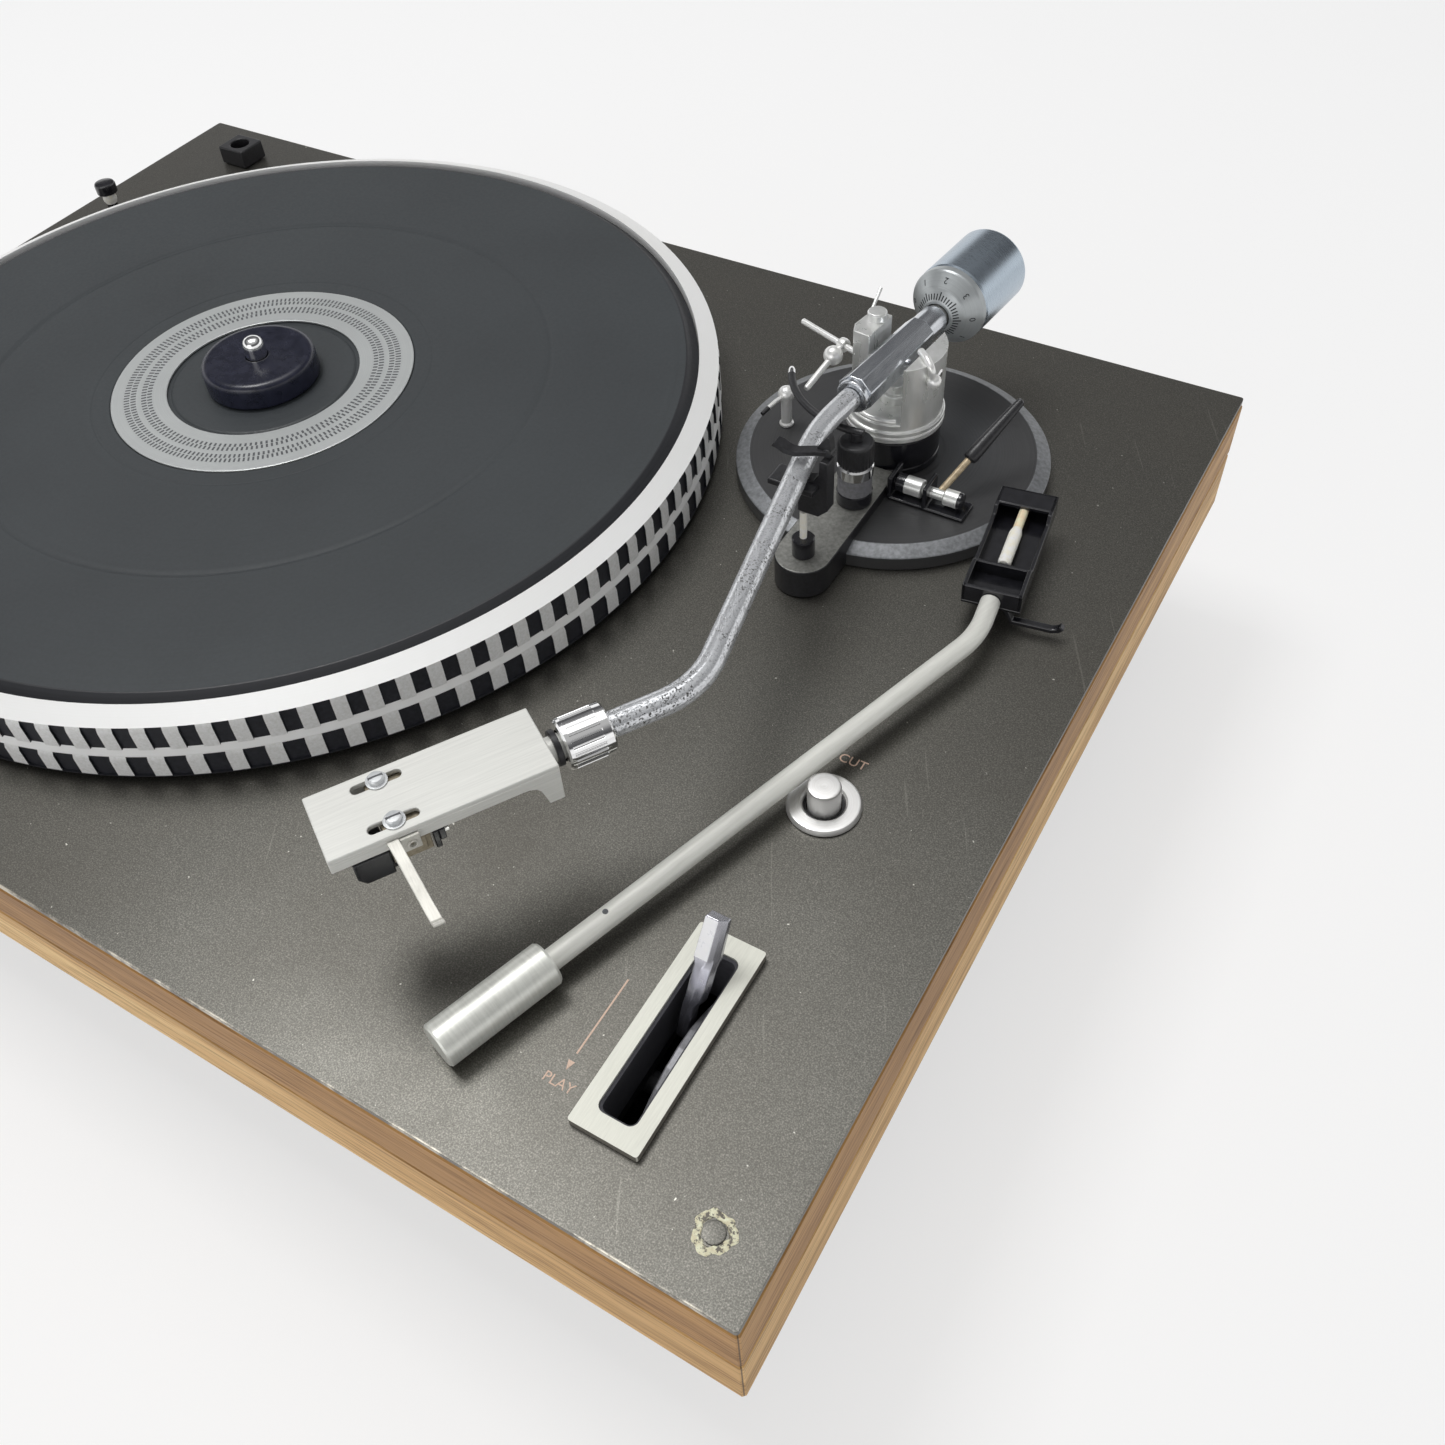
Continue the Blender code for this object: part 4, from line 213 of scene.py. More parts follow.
def new_shader(name):
    MATERIALS[name] = bpy.data.materials.new(name)
    MATERIALS[name].use_nodes = True
    return MATERIALS[name].node_tree.nodes["Principled BSDF"]


def surface(name, dark, light, rough, metal=0, scale=900, place=MODEL, stretch=(1, 1, 1), relief=0.15,
            depth=0.05, specks=None, coat=0):
    """A finish with uneven colour, sheen and a fine relief. Specks: scale, start, colour and share."""
    shader = new_shader(name)
    grain = noise(local(shader, place, stretch), scale)
    broad = noise(local(shader), 35, 3)
    colour = ramp(grain, ((0.32, dark), (0.68, light)))
    if specks:
        size, start, tint, share = specks
        dots = noise(local(shader), size, 3, 0.7)
        colour = mixed(spread(dots, 0, share, start, start + 0.08), colour, tint)
    both = sums("ADD", times(grain, 0.5), times(broad, 0.5))
    shade(shader, colour, spread(both, *rough), metal, coat)
    bump(shader, grain, relief, depth)
    return shader, colour


def wood(name, dark, middle, light, offset):
    """Straight grained veneer that runs along each strip and meets at the corners."""
    shader = new_shader(name)
    x, y, z = axes(shader)
    to_side = sums("SUBTRACT", HALF_WIDTH, sums("ABSOLUTE", x))
    to_front = sums("SUBTRACT", HALF_DEPTH, sums("ABSOLUTE", y))
    on_side = sums("LESS_THAN", to_side, to_front)
    along, across = [add("Mix", {0: on_side, 2: first, 3: second}, data_type="FLOAT").outputs[0]
                     for first, second in ((x, y), (y, x))]
    vector = add("CombineXYZ", {"X": times(along, 0.045), "Y": times(across, 0.8),
                                "Z": sums("ADD", z, offset)}).outputs["Vector"]
    fibre = noise(vector, 900, 6, 0.6)
    figure = noise(vector, 90, 4, 0.5)
    pores = ramp(fibre, ((0.36, (150, 130, 110)), (0.52, (255, 255, 255))))
    colour = ramp(figure, ((0.3, dark), (0.5, middle), (0.72, light)))
    colour = mixed(0.6, colour, pores, "MULTIPLY")
    mitre = sums("LESS_THAN", distance(to_side, to_front), 0.00025)
    shade(shader, mixed(times(mitre, 0.75), colour, (52, 36, 20)), spread(fibre, 0.6, 0.46))
    feed(shader, {"Specular IOR Level": 0.3})
    bump(shader, fibre, 0.2, 0.08)


def board_material():
    """Chipboard, with painted shade round the lever's slot, where the board lies in the dark under the deck.
    """
    shader, colour = surface("board", (185, 149, 105), (241, 205, 154), (0.7, 0.9), scale=500, relief=0.5,
                             depth=0.2)
    x, y = axes(shader)[:2]
    # Painted shade: the board turns dark round the lever's slot.
    slot_shade = times(sums("LESS_THAN", distance(x, PLAY_PLACE.x), 0.012),
                 sums("LESS_THAN", distance(y, PLAY_PLACE.y), 0.034))
    feed(shader, {"Base Color": mixed(slot_shade, colour, (30, 30, 31))})


def deck_material():
    """Dark warm metallic lacquer with fine flakes, dust, long faint scratches and a worn front edge."""
    shader = new_shader("deck")
    vector = local(shader)
    flakes = noise(vector, 2600, 2, 0.6)
    clouds = noise(vector, 14, 5, 0.6)
    dust = noise(vector, 420, 2, 0.75)
    scratch = noise(local(shader, rotation(0.5), (260, 6, 1)), 3, 2)
    colour = ramp(flakes, ((0.34, (88, 87, 82)), (0.52, (104, 103, 98)), (0.74, (136, 133, 126))))
    colour = mixed(spread(clouds, 0, 0.35), colour, (81, 76, 69))
    colour = mixed(spread(dust, 0, 0.7, 0.735, 0.78), colour, (234, 232, 222))
    colour = mixed(spread(scratch, 0, 0.12, 0.72, 0.74), colour, (185, 183, 173))
    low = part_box("deck_plate")[0]
    edge = spread(axes(shader)[1], 1, 0, low[1] + 0.0001, low[1] + 0.0005)
    worn = times(edge, spread(noise(vector, 90, 5, 0.7), 0.05, 0.65, 0.46, 0.58))
    shade(shader, mixed(worn, colour, (236, 229, 212)), spread(clouds, 0.36, 0.46), 0.85)
    bump(shader, flakes, 0.12, 0.03)


def ringed(name, dark, light, rough, metal, pitch, place, relief=0.2, depth=0.04):
    """A turned or moulded face with fine rings round a frame's Z axis."""
    shader = new_shader(name)
    flat = local(shader, place, (1, 1, 0.001))
    radius = add("VectorMath", {0: flat}, operation="LENGTH").outputs["Value"]
    around = add("CombineXYZ", {"X": times(radius, 1 / pitch)}).outputs["Vector"]
    rings = noise(around, 1, 3, 0.7)
    fine = noise(local(shader), 900, 3)
    broad = noise(local(shader), 22, 4)
    stops = ((0.3, dark), (0.7, light))
    sheen = sums("ADD", rings, sums("SUBTRACT", fine, 0.5))
    shade(shader, mixed(0.35, ramp(rings, stops), ramp(broad, stops)), spread(sheen, *rough), metal)
    bump(shader, fine, relief * 0.6, depth, bump(shader, rings, relief, depth))


def pitted_chrome():
    shader = new_shader("worn_chrome")
    vector = local(shader)
    pits = spread(noise(vector, 1700, 3, 0.7), 0, 1, 0.53, 0.58)
    broad = noise(vector, 110, 4, 0.6)
    worn = times(pits, spread(broad, 0.25, 1, 0.4, 0.56))
    dull = sums("ADD", worn, times(broad, 0.4))
    shade(shader, mixed(worn, (224, 226, 229), (78, 77, 76)), spread(dull, 0.1, 0.42, 0.12, 1.1), 0.55)
    bump(shader, worn, 0.5, -0.06)


def lever_shade_material():
    """Chrome with painted shade: it dulls and darkens down the lever, where it stands in the shade of its
    slot.
    """
    shader = new_shader("lever")
    cloud = noise(local(shader, MODEL, (1, 1, 0.3)), 500, 3)
    height = sums("ADD", axes(shader)[2], times(cloud, 0.004))
    # Painted shade: the colour runs from dark at the foot of the lever, down in its slot, to light at its
    # top.
    share = spread(height, 0, 1, DECK_TOP - 0.006, DECK_TOP + 0.014)
    colour = ramp(share, ((0, (58, 58, 62)), (0.45, (124, 124, 133)), (0.75, (170, 170, 181)),
                          (1, (184, 184, 190))))
    shade(shader, colour, spread(cloud, 0.16, 0.28), 0.8)
    bump(shader, cloud, 0.02, 0.04)


def make_materials():
    white = (242, 242, 242)
    few_specks = (700, 0.74, (120, 115, 105), 0.3)
    deck_material()
    board_material()
    pitted_chrome()
    lever_shade_material()
    wood("wood_low", (182, 140, 82), (214, 171, 110), (232, 197, 137), 0)
    wood("wood_high", (148, 106, 56), (176, 131, 74), (197, 153, 93), 0.3)
    ringed("mat", (43, 47, 50), (58, 63, 66), (0.46, 0.6), 0, 0.0009, SPIN, 0.12, 0.05)
    ringed("mat_bevel", (27, 29, 32), (40, 41, 46), (0.4, 0.5), 0, 0.0006, SPIN)
    ringed("rim", (237, 237, 234), white, (0.44, 0.56), 0.1, 0.0004, SPIN, 0.1, 0.02)
    ringed("label", (180, 183, 183), (214, 217, 216), (0.36, 0.46), 0.5, 0.0003, SPIN, 0.15, 0.02)
    ringed("dial", (158, 163, 165), (188, 192, 193), (0.28, 0.38), 0.5, 0.0003, LINE_BACK, 0.08)
    ringed("button", (220, 218, 213), white, (0.28, 0.38), 0.75, 0.0004, CUT, 0.08)
    ringed("knob", (185, 185, 181), (241, 241, 237), (0.24, 0.36), 1, 0.0004, KNOB, 0.3)
    ringed("disc", (60, 60, 61), (82, 82, 83), (0.3, 0.42), 0.3, 0.0005, PILLAR, 0.15, 0.03)
    surface("strobe_black", (32, 33, 38), (47, 48, 54), (0.35, 0.5))
    surface("strobe_white", (227, 227, 224), white, (0.35, 0.5), 0.2, 1200)
    surface("cast", (161, 161, 159), (198, 198, 195), (0.4, 0.6), 0.9, 700, relief=0.4)
    surface("tick", (74, 76, 78), (98, 100, 103), (0.5, 0.6))
    surface("navy", (24, 26, 40), (35, 37, 54), (0.2, 0.34), 0, 300, relief=0.08,
            specks=(700, 0.72, (149, 149, 147), 0.4))
    surface("gloss", (22, 22, 26), (32, 32, 37), (0.14, 0.26), 0, 300, relief=0.08, coat=0.4,
            specks=(700, 0.72, (149, 149, 147), 0.5))
    surface("black", (30, 30, 32), (44, 44, 47), (0.3, 0.46), 0, 1200, relief=0.25,
            specks=(900, 0.72, (161, 161, 156), 0.45))
    surface("rubber", (32, 32, 33), (49, 49, 52), (0.65, 0.85), relief=0.4, depth=0.1)
    surface("case", (35, 35, 36), (49, 49, 50), (0.45, 0.6), 0, 1500, relief=0.5, depth=0.1)
    surface("chrome", white, white, (0.06, 0.14), 1, 350, relief=0.04, depth=0.03)
    surface("housing", (198, 202, 208), (214, 217, 221), (0.12, 0.22), 0.9, 420, LINE_BACK, (1, 1, 0.15),
            0.04, 0.03, few_specks)
    surface("weight", (172, 184, 196), (184, 196, 206), (0.2, 0.34), 1, 500, LINE_BACK, (1, 1, 14), 0.08,
            0.03)
    surface("arm", (224, 226, 222), (242, 242, 241), (0.24, 0.34), 0.6, 260, MODEL, (1, 1, 0.25), 0.05,
            specks=few_specks)
    surface("satin_silver", (241, 241, 237), white, (0.26, 0.36), 0.5, 400, relief=0.05)
    surface("shell", (211, 211, 206), (222, 222, 217), (0.42, 0.54), 0.3, 2200, SHELL, (1, 0.03, 1), 0.08,
            0.02, (500, 0.74, (149, 144, 132), 0.3))
    surface("lift", (200, 198, 190), (218, 216, 208), (0.4, 0.5), 0.35, 1800, SHELL, (0.05, 1, 1), 0.08, 0.02)
    surface("screw", (196, 199, 201), (220, 222, 223), (0.18, 0.28), 0.2, 500, relief=0.05, coat=0.3)
    surface("bezel", (215, 215, 204), (227, 227, 216), (0.46, 0.58), 0.25, 2200, MODEL, (1, 0.08, 1), 0.1,
            0.02, (500, 0.72, (137, 132, 120), 0.3))
    surface("bezel_side", (112, 108, 100), (140, 135, 126), (0.4, 0.55), 0.2,
            specks=(900, 0.66, (185, 173, 151), 0.6))
    surface("lining", (71, 71, 76), (88, 88, 93), (0.4, 0.55))
    surface("drum", (120, 120, 123), (142, 142, 147), (0.34, 0.46), 0.3)
    # The lever's flat front gets a pale satin: a painted highlight for its bright reflection.
    surface("lever_face", (236, 236, 240), white, (0.22, 0.32), 0.1, 300, relief=0.005)
    surface("ink_black", (28, 30, 33), (42, 44, 47), (0.5, 0.6))
    surface("disc_edge", (112, 114, 116), (142, 144, 147), (0.38, 0.5), 0.5, 700,
            specks=(600, 0.68, (52, 54, 59), 0.6))
    surface("tongue", (127, 127, 123), (156, 156, 151), (0.36, 0.5), 0.5,
            specks=(600, 0.7, (76, 76, 74), 0.5))
    surface("cream", (241, 237, 220), white, (0.4, 0.55), 0, 500, specks=(300, 0.7, (173, 154, 120), 0.4))
    surface("peach", (241, 217, 183), (242, 242, 210), (0.4, 0.5), 0, 500)
    surface("tan", (164, 147, 120), (203, 185, 154), (0.4, 0.5), 0.3, 700)
    surface("satin", (220, 220, 213), (231, 231, 224), (0.4, 0.5), 0.15, 1100, CLEANER, (1, 0.08, 1), 0.1,
            0.02, (700, 0.73, (120, 115, 103), 0.6))
    surface("cleaner_weight", (220, 221, 214), (234, 235, 228), (0.34, 0.44), 0.5, 1400, CLEANER,
            (0.1, 1, 0.1), 0.12, 0.02)
    surface("steel", (164, 164, 161), (207, 207, 204), (0.3, 0.45), 0.95, 600)
    surface("mount", (139, 130, 110), (166, 156, 137), (0.4, 0.55), 0.4, 700,
            specks=(600, 0.7, (88, 81, 69), 0.4))
    surface("bronze", (159, 115, 69), (198, 149, 95), (0.4, 0.5), 0.9, 600)
    surface("copper", (185, 105, 61), (234, 139, 86), (0.35, 0.5), 0.8, 2600, relief=0.6, depth=0.2)
    surface("magnet", (52, 52, 54), (74, 74, 76), (0.5, 0.6), 0.3)
    surface("ink", (217, 185, 164), (237, 207, 185), (0.5, 0.6), 0, 1500,
            specks=(1500, 0.62, (113, 105, 95), 0.8))
    surface("glue", (217, 207, 173), (242, 242, 212), (0.5, 0.7), relief=0.8, depth=0.3,
            specks=(700, 0.5, (115, 110, 100), 1))


# Shapes, in millimetres

def polar(radius, angle, height=0.0):
    return Vector((radius * cos(angle), radius * sin(angle), height))


def angles(start, end, count):
    """Even angles between two that are given in degrees."""
    return [radians(start + (end - start) * i / count) for i in range(count + 1)]


def circle(radius, height, steps):
    return [polar(radius, tau * i / steps, height) for i in range(steps)]


def loft(rings, closed=False, banded=False, bm=None):
    """A skin over rings of equally many points. A banded one counts its bands as materials."""
    if bm is None:
        bm = bmesh.new()
    rows = [[bm.verts.new(point) for point in ring] for ring in rings]
    pairs = list(zip(rows, rows[1:]))
    if closed:
        pairs.append((rows[-1], rows[0]))
    else:
        bm.faces.new(rows[0])
        bm.faces.new(rows[-1])
    for band, (low, high) in enumerate(pairs):
        for i in range(len(low)):
            j = (i + 1) % len(low)
            face = bm.faces.new((low[i], low[j], high[j], high[i]))
            face.material_index = band if banded else 0
    return bm


def turned(profile, steps=96, closed=False, inks=""):
    """A shape turned about Z from (radius, height) points. Inks has a digit for each band, its material."""
    bm = loft([circle(radius, height, steps) for radius, height in profile], closed, bool(inks))
    for face in bm.faces if inks else ():
        face.material_index = int(inks[face.material_index])
    return bm


def fluted(rows, steps, pattern, closed=False):
    """A turned shape from (height, radius, groove) rows, sunk where the pattern has a one."""
    return loft([[polar(radius - groove * pattern[i % len(pattern)], tau * i / steps, height)
                  for i in range(steps)] for height, radius, groove in rows], closed)


def prism(outline, start, end, along="Z"):
    def point(a, b, reach):
        return {"X": (reach, a, b), "Y": (a, reach, b), "Z": (a, b, reach)}[along]

    return loft([[point(a, b, reach) for a, b in outline] for reach in (start, end)])


def box_outline(left, front, right, back):
    return [(left, front), (right, front), (right, back), (left, back)]


def block(low, high):
    return prism(box_outline(*low[:2], *high[:2]), low[2], high[2])


def rounded(half_width, half_depth, corner):
    """A rectangle with round corners."""
    outline = []
    for quarter, (side, end) in enumerate(((1, 1), (-1, 1), (-1, -1), (1, -1))):
        for point in (polar(corner, pi / 2 * (quarter + step / 6)) for step in range(7)):
            outline.append((side * (half_width - corner) + point.x, end * (half_depth - corner) + point.y))
    return outline


def strip(middle, thickness):
    """An outline of even thickness around a line of points."""
    above, below = [], []
    for i, point in enumerate(middle):
        along = Vector(middle[min(i + 1, len(middle) - 1)]) - Vector(middle[max(i - 1, 0)])
        offset = along.normalized().orthogonal() * (thickness / 2)
        above.append(Vector(point) + offset)
        below.append(Vector(point) - offset)
    return above + below[::-1]


def plate(outline, holes, low, high):
    """A flat plate with holes through it."""
    bm = bmesh.new()
    edges = []
    for loop in [outline] + holes:
        verts = [bm.verts.new((x, y, high)) for x, y in loop]
        edges += [bm.edges.new((a, b)) for a, b in zip(verts, verts[1:] + verts[:1])]
    bmesh.ops.triangle_fill(bm, edges=edges, use_beauty=True, use_dissolve=False)
    made = bmesh.ops.extrude_face_region(bm, geom=bm.faces[:])
    lowered = [item for item in made["geom"] if isinstance(item, bmesh.types.BMVert)]
    bmesh.ops.translate(bm, verts=lowered, vec=(0, 0, low - high))
    return bm


def swept(path, radius, sides=20):
    """A round bar along a path. The radius is one number, or one for each point."""
    path = [Vector(point) for point in path]
    rings = []
    for i, point in enumerate(path):
        along = (path[min(i + 1, len(path) - 1)] - path[max(i - 1, 0)]).normalized()
        side = along.cross(Vector((0, 0, 1))).normalized()
        lift = side.cross(along)
        thick = radius[i] if isinstance(radius, list) else radius
        rings.append([point + (side * p.x + lift * p.y) * thick for p in circle(1, 0, sides)])
    return loft(rings)


def bent(corners, bends, steps=14):
    """Straight runs with each inner corner rounded."""
    corners = [Vector(corner) for corner in corners]
    path = [corners[0]]
    for before, corner, after, bend in zip(corners, corners[1:], corners[2:], bends):
        back, onward = (before - corner).normalized(), (after - corner).normalized()
        half = back.angle(onward) / 2
        centre = corner + (back + onward).normalized() * (bend / sin(half))
        first, last = [(corner + way * (bend / tan(half)) - centre).normalized() for way in (back, onward)]
        path += [centre + first.slerp(last, step / steps) * bend for step in range(steps + 1)]
    return path + [corners[-1]]


def aimed(bm, direction, start=(0, 0, 0)):
    bm.transform(shift(start) @ Vector(direction).to_track_quat("Z", "Y").to_matrix().to_4x4())
    return bm


def moved(bm, place):
    bm.transform(shift(place))
    return bm


def painted(bm, index):
    for face in bm.faces:
        face.material_index = index
    return bm


def ball(radius, centre):
    """A ball whose poles are small flat faces."""
    return moved(turned([polar(radius, slope).xy for slope in angles(-88.65, 88.65, 12)], 28), centre)


def new_mesh(name, bm):
    mesh = bpy.data.meshes.new(name)
    bm.to_mesh(mesh)
    bm.free()
    return mesh


def together(*shapes):
    """One shape from several."""
    whole = bmesh.new()
    for shape in shapes:
        part = new_mesh("part", shape)
        whole.from_mesh(part)
        bpy.data.meshes.remove(part)
    return whole


SHARP = radians(32)


def soften(made, width, segments=2):
    rounding = made.modifiers.new("edges", "BEVEL")
    rounding.width = width * MM
    rounding.segments = segments
    rounding.limit_method = "ANGLE"
    rounding.angle_limit = SHARP
    return rounding


def new_object(name, data):
    made = bpy.data.objects.new(name, data)
    bpy.context.scene.collection.objects.link(made)
    return made


def piece(name, bm, finish, body, place, stands_for=(), edge=0.0, segments=2):
    """Adds a drawn shape to the scene, riding on its body. The edge is its bevel in millimetres."""
    bm.transform(place @ Matrix.Scale(MM, 4))
    bmesh.ops.recalc_face_normals(bm, faces=bm.faces)
    for item in bm.edges:
        item.smooth = len(item.link_faces) == 2 and item.calc_face_angle(0.0) < SHARP
    mesh = new_mesh(name, bm)
    for item in mesh.polygons:
        item.use_smooth = True
    for item in finish.split():
        mesh.materials.append(MATERIALS[item])
    made = new_object(name, mesh)
    if edge:
        soften(made, edge, segments).harden_normals = True
    shading = made.modifiers.new("shading", "WEIGHTED_NORMAL")
    shading.keep_sharp = True
    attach(made, body)
    if stands_for:
        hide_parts(stands_for)
    return made


# The case and what it holds: finish, edge and nodes

NODE_FINISHES = (
    ("case", 0.4, "base_pan"), ("board", 0, "deck_board"), ("deck", 0.2, "deck_plate"),
    ("rubber", 0.6, "foot_front_left foot_front_right foot_rear_left foot_rear_right"),
    ("wood_low", 0, "plinth_lower_frame"), ("wood_high", 0, "plinth_upper_frame"),
    ("steel", 0.3, "motor_housing arm_shaft"), ("bronze", 0, "bearing_sleeve"),
    ("copper", 0.4, "stator_coils"), ("magnet", 0.4, "rotor"), ("steel", 0, "transformer"),
    ("rubber", 0.3, "cord_gland"), ("drum", 0.3, "play_drum"),
    ("chrome", 0, "left_pivot_screw right_pivot_screw"), ("gloss", 0.1, "stylus"),
)


def dress_nodes():
    """Model pieces whose shape is right keep it, and get their finish and softer edges."""
    for finish, edge, names in NODE_FINISHES:
        for name in names.split():
            node = frame["nodes"][name]
            if not node.material_slots:
                node.data.materials.append(MATERIALS[finish])
            for slot in node.material_slots:
                slot.material = MATERIALS[finish]
            weld = node.modifiers.new("weld", "WELD")
            weld.merge_threshold = 0.000002
            if edge:
                soften(node, edge)


# Platter, mat, label, adapter and spindle

PLATTER_RADIUS = 153.8
BAND_RADIUS = 153.0
UPPER_BAND = (13.7, 22.6)
LOWER_BAND = (2.6, 10.3)


def make_platter():
    outer, band = PLATTER_RADIUS, BAND_RADIUS
    profile = [(4.3, 16), (147, 16), (147, 2), (153.2, 2), (outer, 2.3), (outer, LOWER_BAND[0]),
               (band, LOWER_BAND[0]), (band, LOWER_BAND[1]), (153.5, 10.5), (outer, 10.9), (outer, 11.4),
               (153.1, 13.5), (band, UPPER_BAND[0]), (band, UPPER_BAND[1]), (153.5, 22.6), (147.1, 25),
               (147.1, 21), (4.3, 21)]
    piece("platter_turned", turned(profile, 288, True, "222111100000100022"),
          "rim strobe_black cast", "turning_platter", SPIN, "platter")
    rows = together(strobe_row(108, UPPER_BAND, -72.58, 0.52, 2),
                    strobe_row(90, LOWER_BAND, -74.83, 0.56, 1.5))
    piece("strobe_blocks", rows, "strobe_white strobe_black", "turning_platter", SPIN, ())


def strobe_row(count, band, first, black_share, chamfer):
    """Raised blocks round the rim, each with a sloping top and dark ends."""
    low, high = band
    wall, front = BAND_RADIUS - 0.3, PLATTER_RADIUS - 0.05
    section = [(wall, low), (front, low), (front, high - chamfer), (BAND_RADIUS + 0.15, high), (wall, high)]
    pitch = tau / count
    shapes = bmesh.new()
    for i in range(count):
        start = radians(first) + pitch * (i + black_share)
        turns = [start + pitch * (1 - black_share) * share for share in (0, 0.5, 1)]
        loft([[polar(r, angle, z) for r, z in section] for angle in turns], bm=shapes)
    for face in shapes.faces:
        face.material_index = int(len(face.verts) == len(section))
    return shapes


def make_mat():
    profile = [(4.2, 21.3), (146.8, 21.3), (146.8, 22.1), (146.3, 22.5), (143.3, 24.85), (142.6, 25),
               (98.6, 25), (97.8, 24.55), (96.6, 24.55), (94.6, 25), (57.5, 25), (57.2, 24.88),
               (56.6, 24.88), (56.3, 25), (51.2, 25), (50.9, 24.8), (50.9, 24.3), (31, 24.3),
               (30.6, 24.6), (30, 24.75), (20.4, 24.75), (19.6, 24.3), (4.2, 24.3)]
    piece("mat_moulded", turned(profile, 240, True, "01111" + "0" * 18), "mat mat_bevel",
          "turning_platter", SPIN, "platter_mat")


def make_label():
    profile = [(32.3, 24.6), (50.6, 24.6), (50.6, 25.15), (50.3, 25.3), (32.6, 25.3), (32.3, 25.15)]
    piece("label_ring", turned(profile, 192, True), "label", "turning_platter", SPIN, "strobe_label")
    ticks = bmesh.new()
    for radius, count, length in ((44.5, 190, 1.8), (42.4, 176, 1.7), (38.9, 158, 1.7), (37.1, 142, 1.5)):
        half = pi / count * 0.42
        for i in range(count):
            corners = [(r, tau * i / count + a) for r, a in box_outline(radius, -half, radius + length, half)]
            loft([[polar(r, a, height) for r, a in corners] for height in (25.2, 25.33)], bm=ticks)
    piece("label_ticks", ticks, "tick", "turning_platter", SPIN, ())


def make_adapter():
    profile = [(3.9, 24.6), (18.3, 24.6), (18.9, 25.2), (18.9, 31), (18.7, 32), (18.1, 32.8), (17.2, 33.2),
               (16.2, 33.3), (4.7, 33.3), (3.9, 33.1)]
    piece("adapter_turned", turned(profile, 128, True), "navy", "loose_adapter", SPIN, "adapter_45")
    tip = [(3.6, -28), (3.6, 36.6), (3.45, 37.8), (3, 38.9), (2.2, 39.6), (1.1, 39.95), (0.3, 40)]
    piece("spindle_turned", turned(tip, 48), "chrome", "turning_platter", SPIN, "spindle")


# Tonearm base

TONGUE_HALF = 8.75
REST_Y = -61.5


def make_arm_base():
    profile = [(4.4, 0.3), (51, 0.3), (51, 4.6), (50.7, 5), (46.9, 6.65), (46.4, 6.8), (17.6, 6.8),
               (17.3, 6.65), (16.4, 6.65), (4.4, 6.65)]
    piece("arm_disc", turned(profile, 160, True, "0011100000"), "disc disc_edge", "case", PILLAR,
          "arm_base_disc")
    outline = [(TONGUE_HALF, -15), (-TONGUE_HALF, -15)]
    outline += [(TONGUE_HALF * cos(a), REST_Y + TONGUE_HALF * sin(a)) for a in angles(180, 360, 32)]
    top = 10.5
    tongue = prism(outline, 0.3, top)
    for face in tongue.faces:
        face.material_index = 1 if face.calc_center_median().z > top - 0.1 else 0
    piece("arm_tongue", tongue, "black tongue", "case", PILLAR, "arm_rest_bracket", 0.5, 3)
    collar = [(4.4, 7.1), (15, 7.1), (15, 9.2), (14.7, 9.5), (14.7, 10), (15, 10.3), (15, 19.2), (14.2, 20),
              (4.4, 20)]
    piece("collar_turned", turned(collar, 96, True), "gloss", "case", ARM, "pillar_collar")


# Yoke, with the fittings that only the scene holds

def make_yoke():
    ring = turned([(4.6, 20.3), (15.5, 20.3), (15.8, 20.7), (15.8, 22.1), (15.5, 22.4), (15.5, 22.7),
                   (15.8, 23), (15.8, 24.1), (15.4, 24.5), (15, 24.6), (15, 26.6), (14.6, 27), (4.6, 27)],
                  128, True)
    boss = turned([(5, 26), (5, 29.7), (4.8, 30), (3.5, 30), (3.5, 32.7), (3.2, 33), (0.6, 33)], 48)
    radius, flat = 15, 9
    edge = degrees(acos(flat / radius))
    upright = prism([polar(radius, angle).xy for angle in angles(-edge, edge, 24)], 26, 47)
    left = prism([(-7.2, -5.4), (-7.2, 8), (-12.2, 8), (-14.2, 4), (-14.6, -1.8), (-13, -5.2)], 26, 49.5)
    cap = moved(turned([(3.1, 49), (3.1, 51.7), (2.7, 52.2), (0.5, 52.2)], 40), (-10.3, 4.2, 0))
    rod = aimed(turned([(0.8, -3.5), (0.95, -3.3), (0.95, 20.9), (0.7, 21.2), (0.2, 21.25)], 24), (-1, 0, 0))
    piece("yoke_turned", together(ring, boss, upright, left, cap), "arm", "arm_pillar", ARM, "yoke",
          0.35)
    piece("skate_rod", rod, "satin_silver", "arm_pillar", SWING, ())
    arc = [polar(13.6, angle, 27.4) for angle in angles(-158, -58, 24)]
    piece("yoke_floor_ring", swept(arc, 1, 16), "satin_silver", "arm_pillar", ARM, ())
    hook = bent([(8.6, -1.4, 47.6), (12.4, -4.4, 48.2), (15.2, -6.2, 46.6), (15.6, -5.4, 42.4)], (3, 2.2), 8)
    piece("yoke_hook", together(swept(hook, 1.15, 18), ball(2.3, (15.7, -5, 41.6))), "satin_silver",
          "arm_pillar", ARM, ())
    pin = [(-13.4, 5.2, 49.2), (-14.1, 8.4, 50.7), (-15, 13.7, 53.4)]
    piece("yoke_pin", swept(pin, 0.55, 14), "arm", "arm_pillar", ARM, ())


# Arm, along its own line

def octagon(flats, height):
    return [polar(flats / 2 / cos(pi / 8), tau * (i + 0.5) / 8, height) for i in range(8)]


def heading(angle):
    return Vector((sin(angle), -cos(angle), 0))


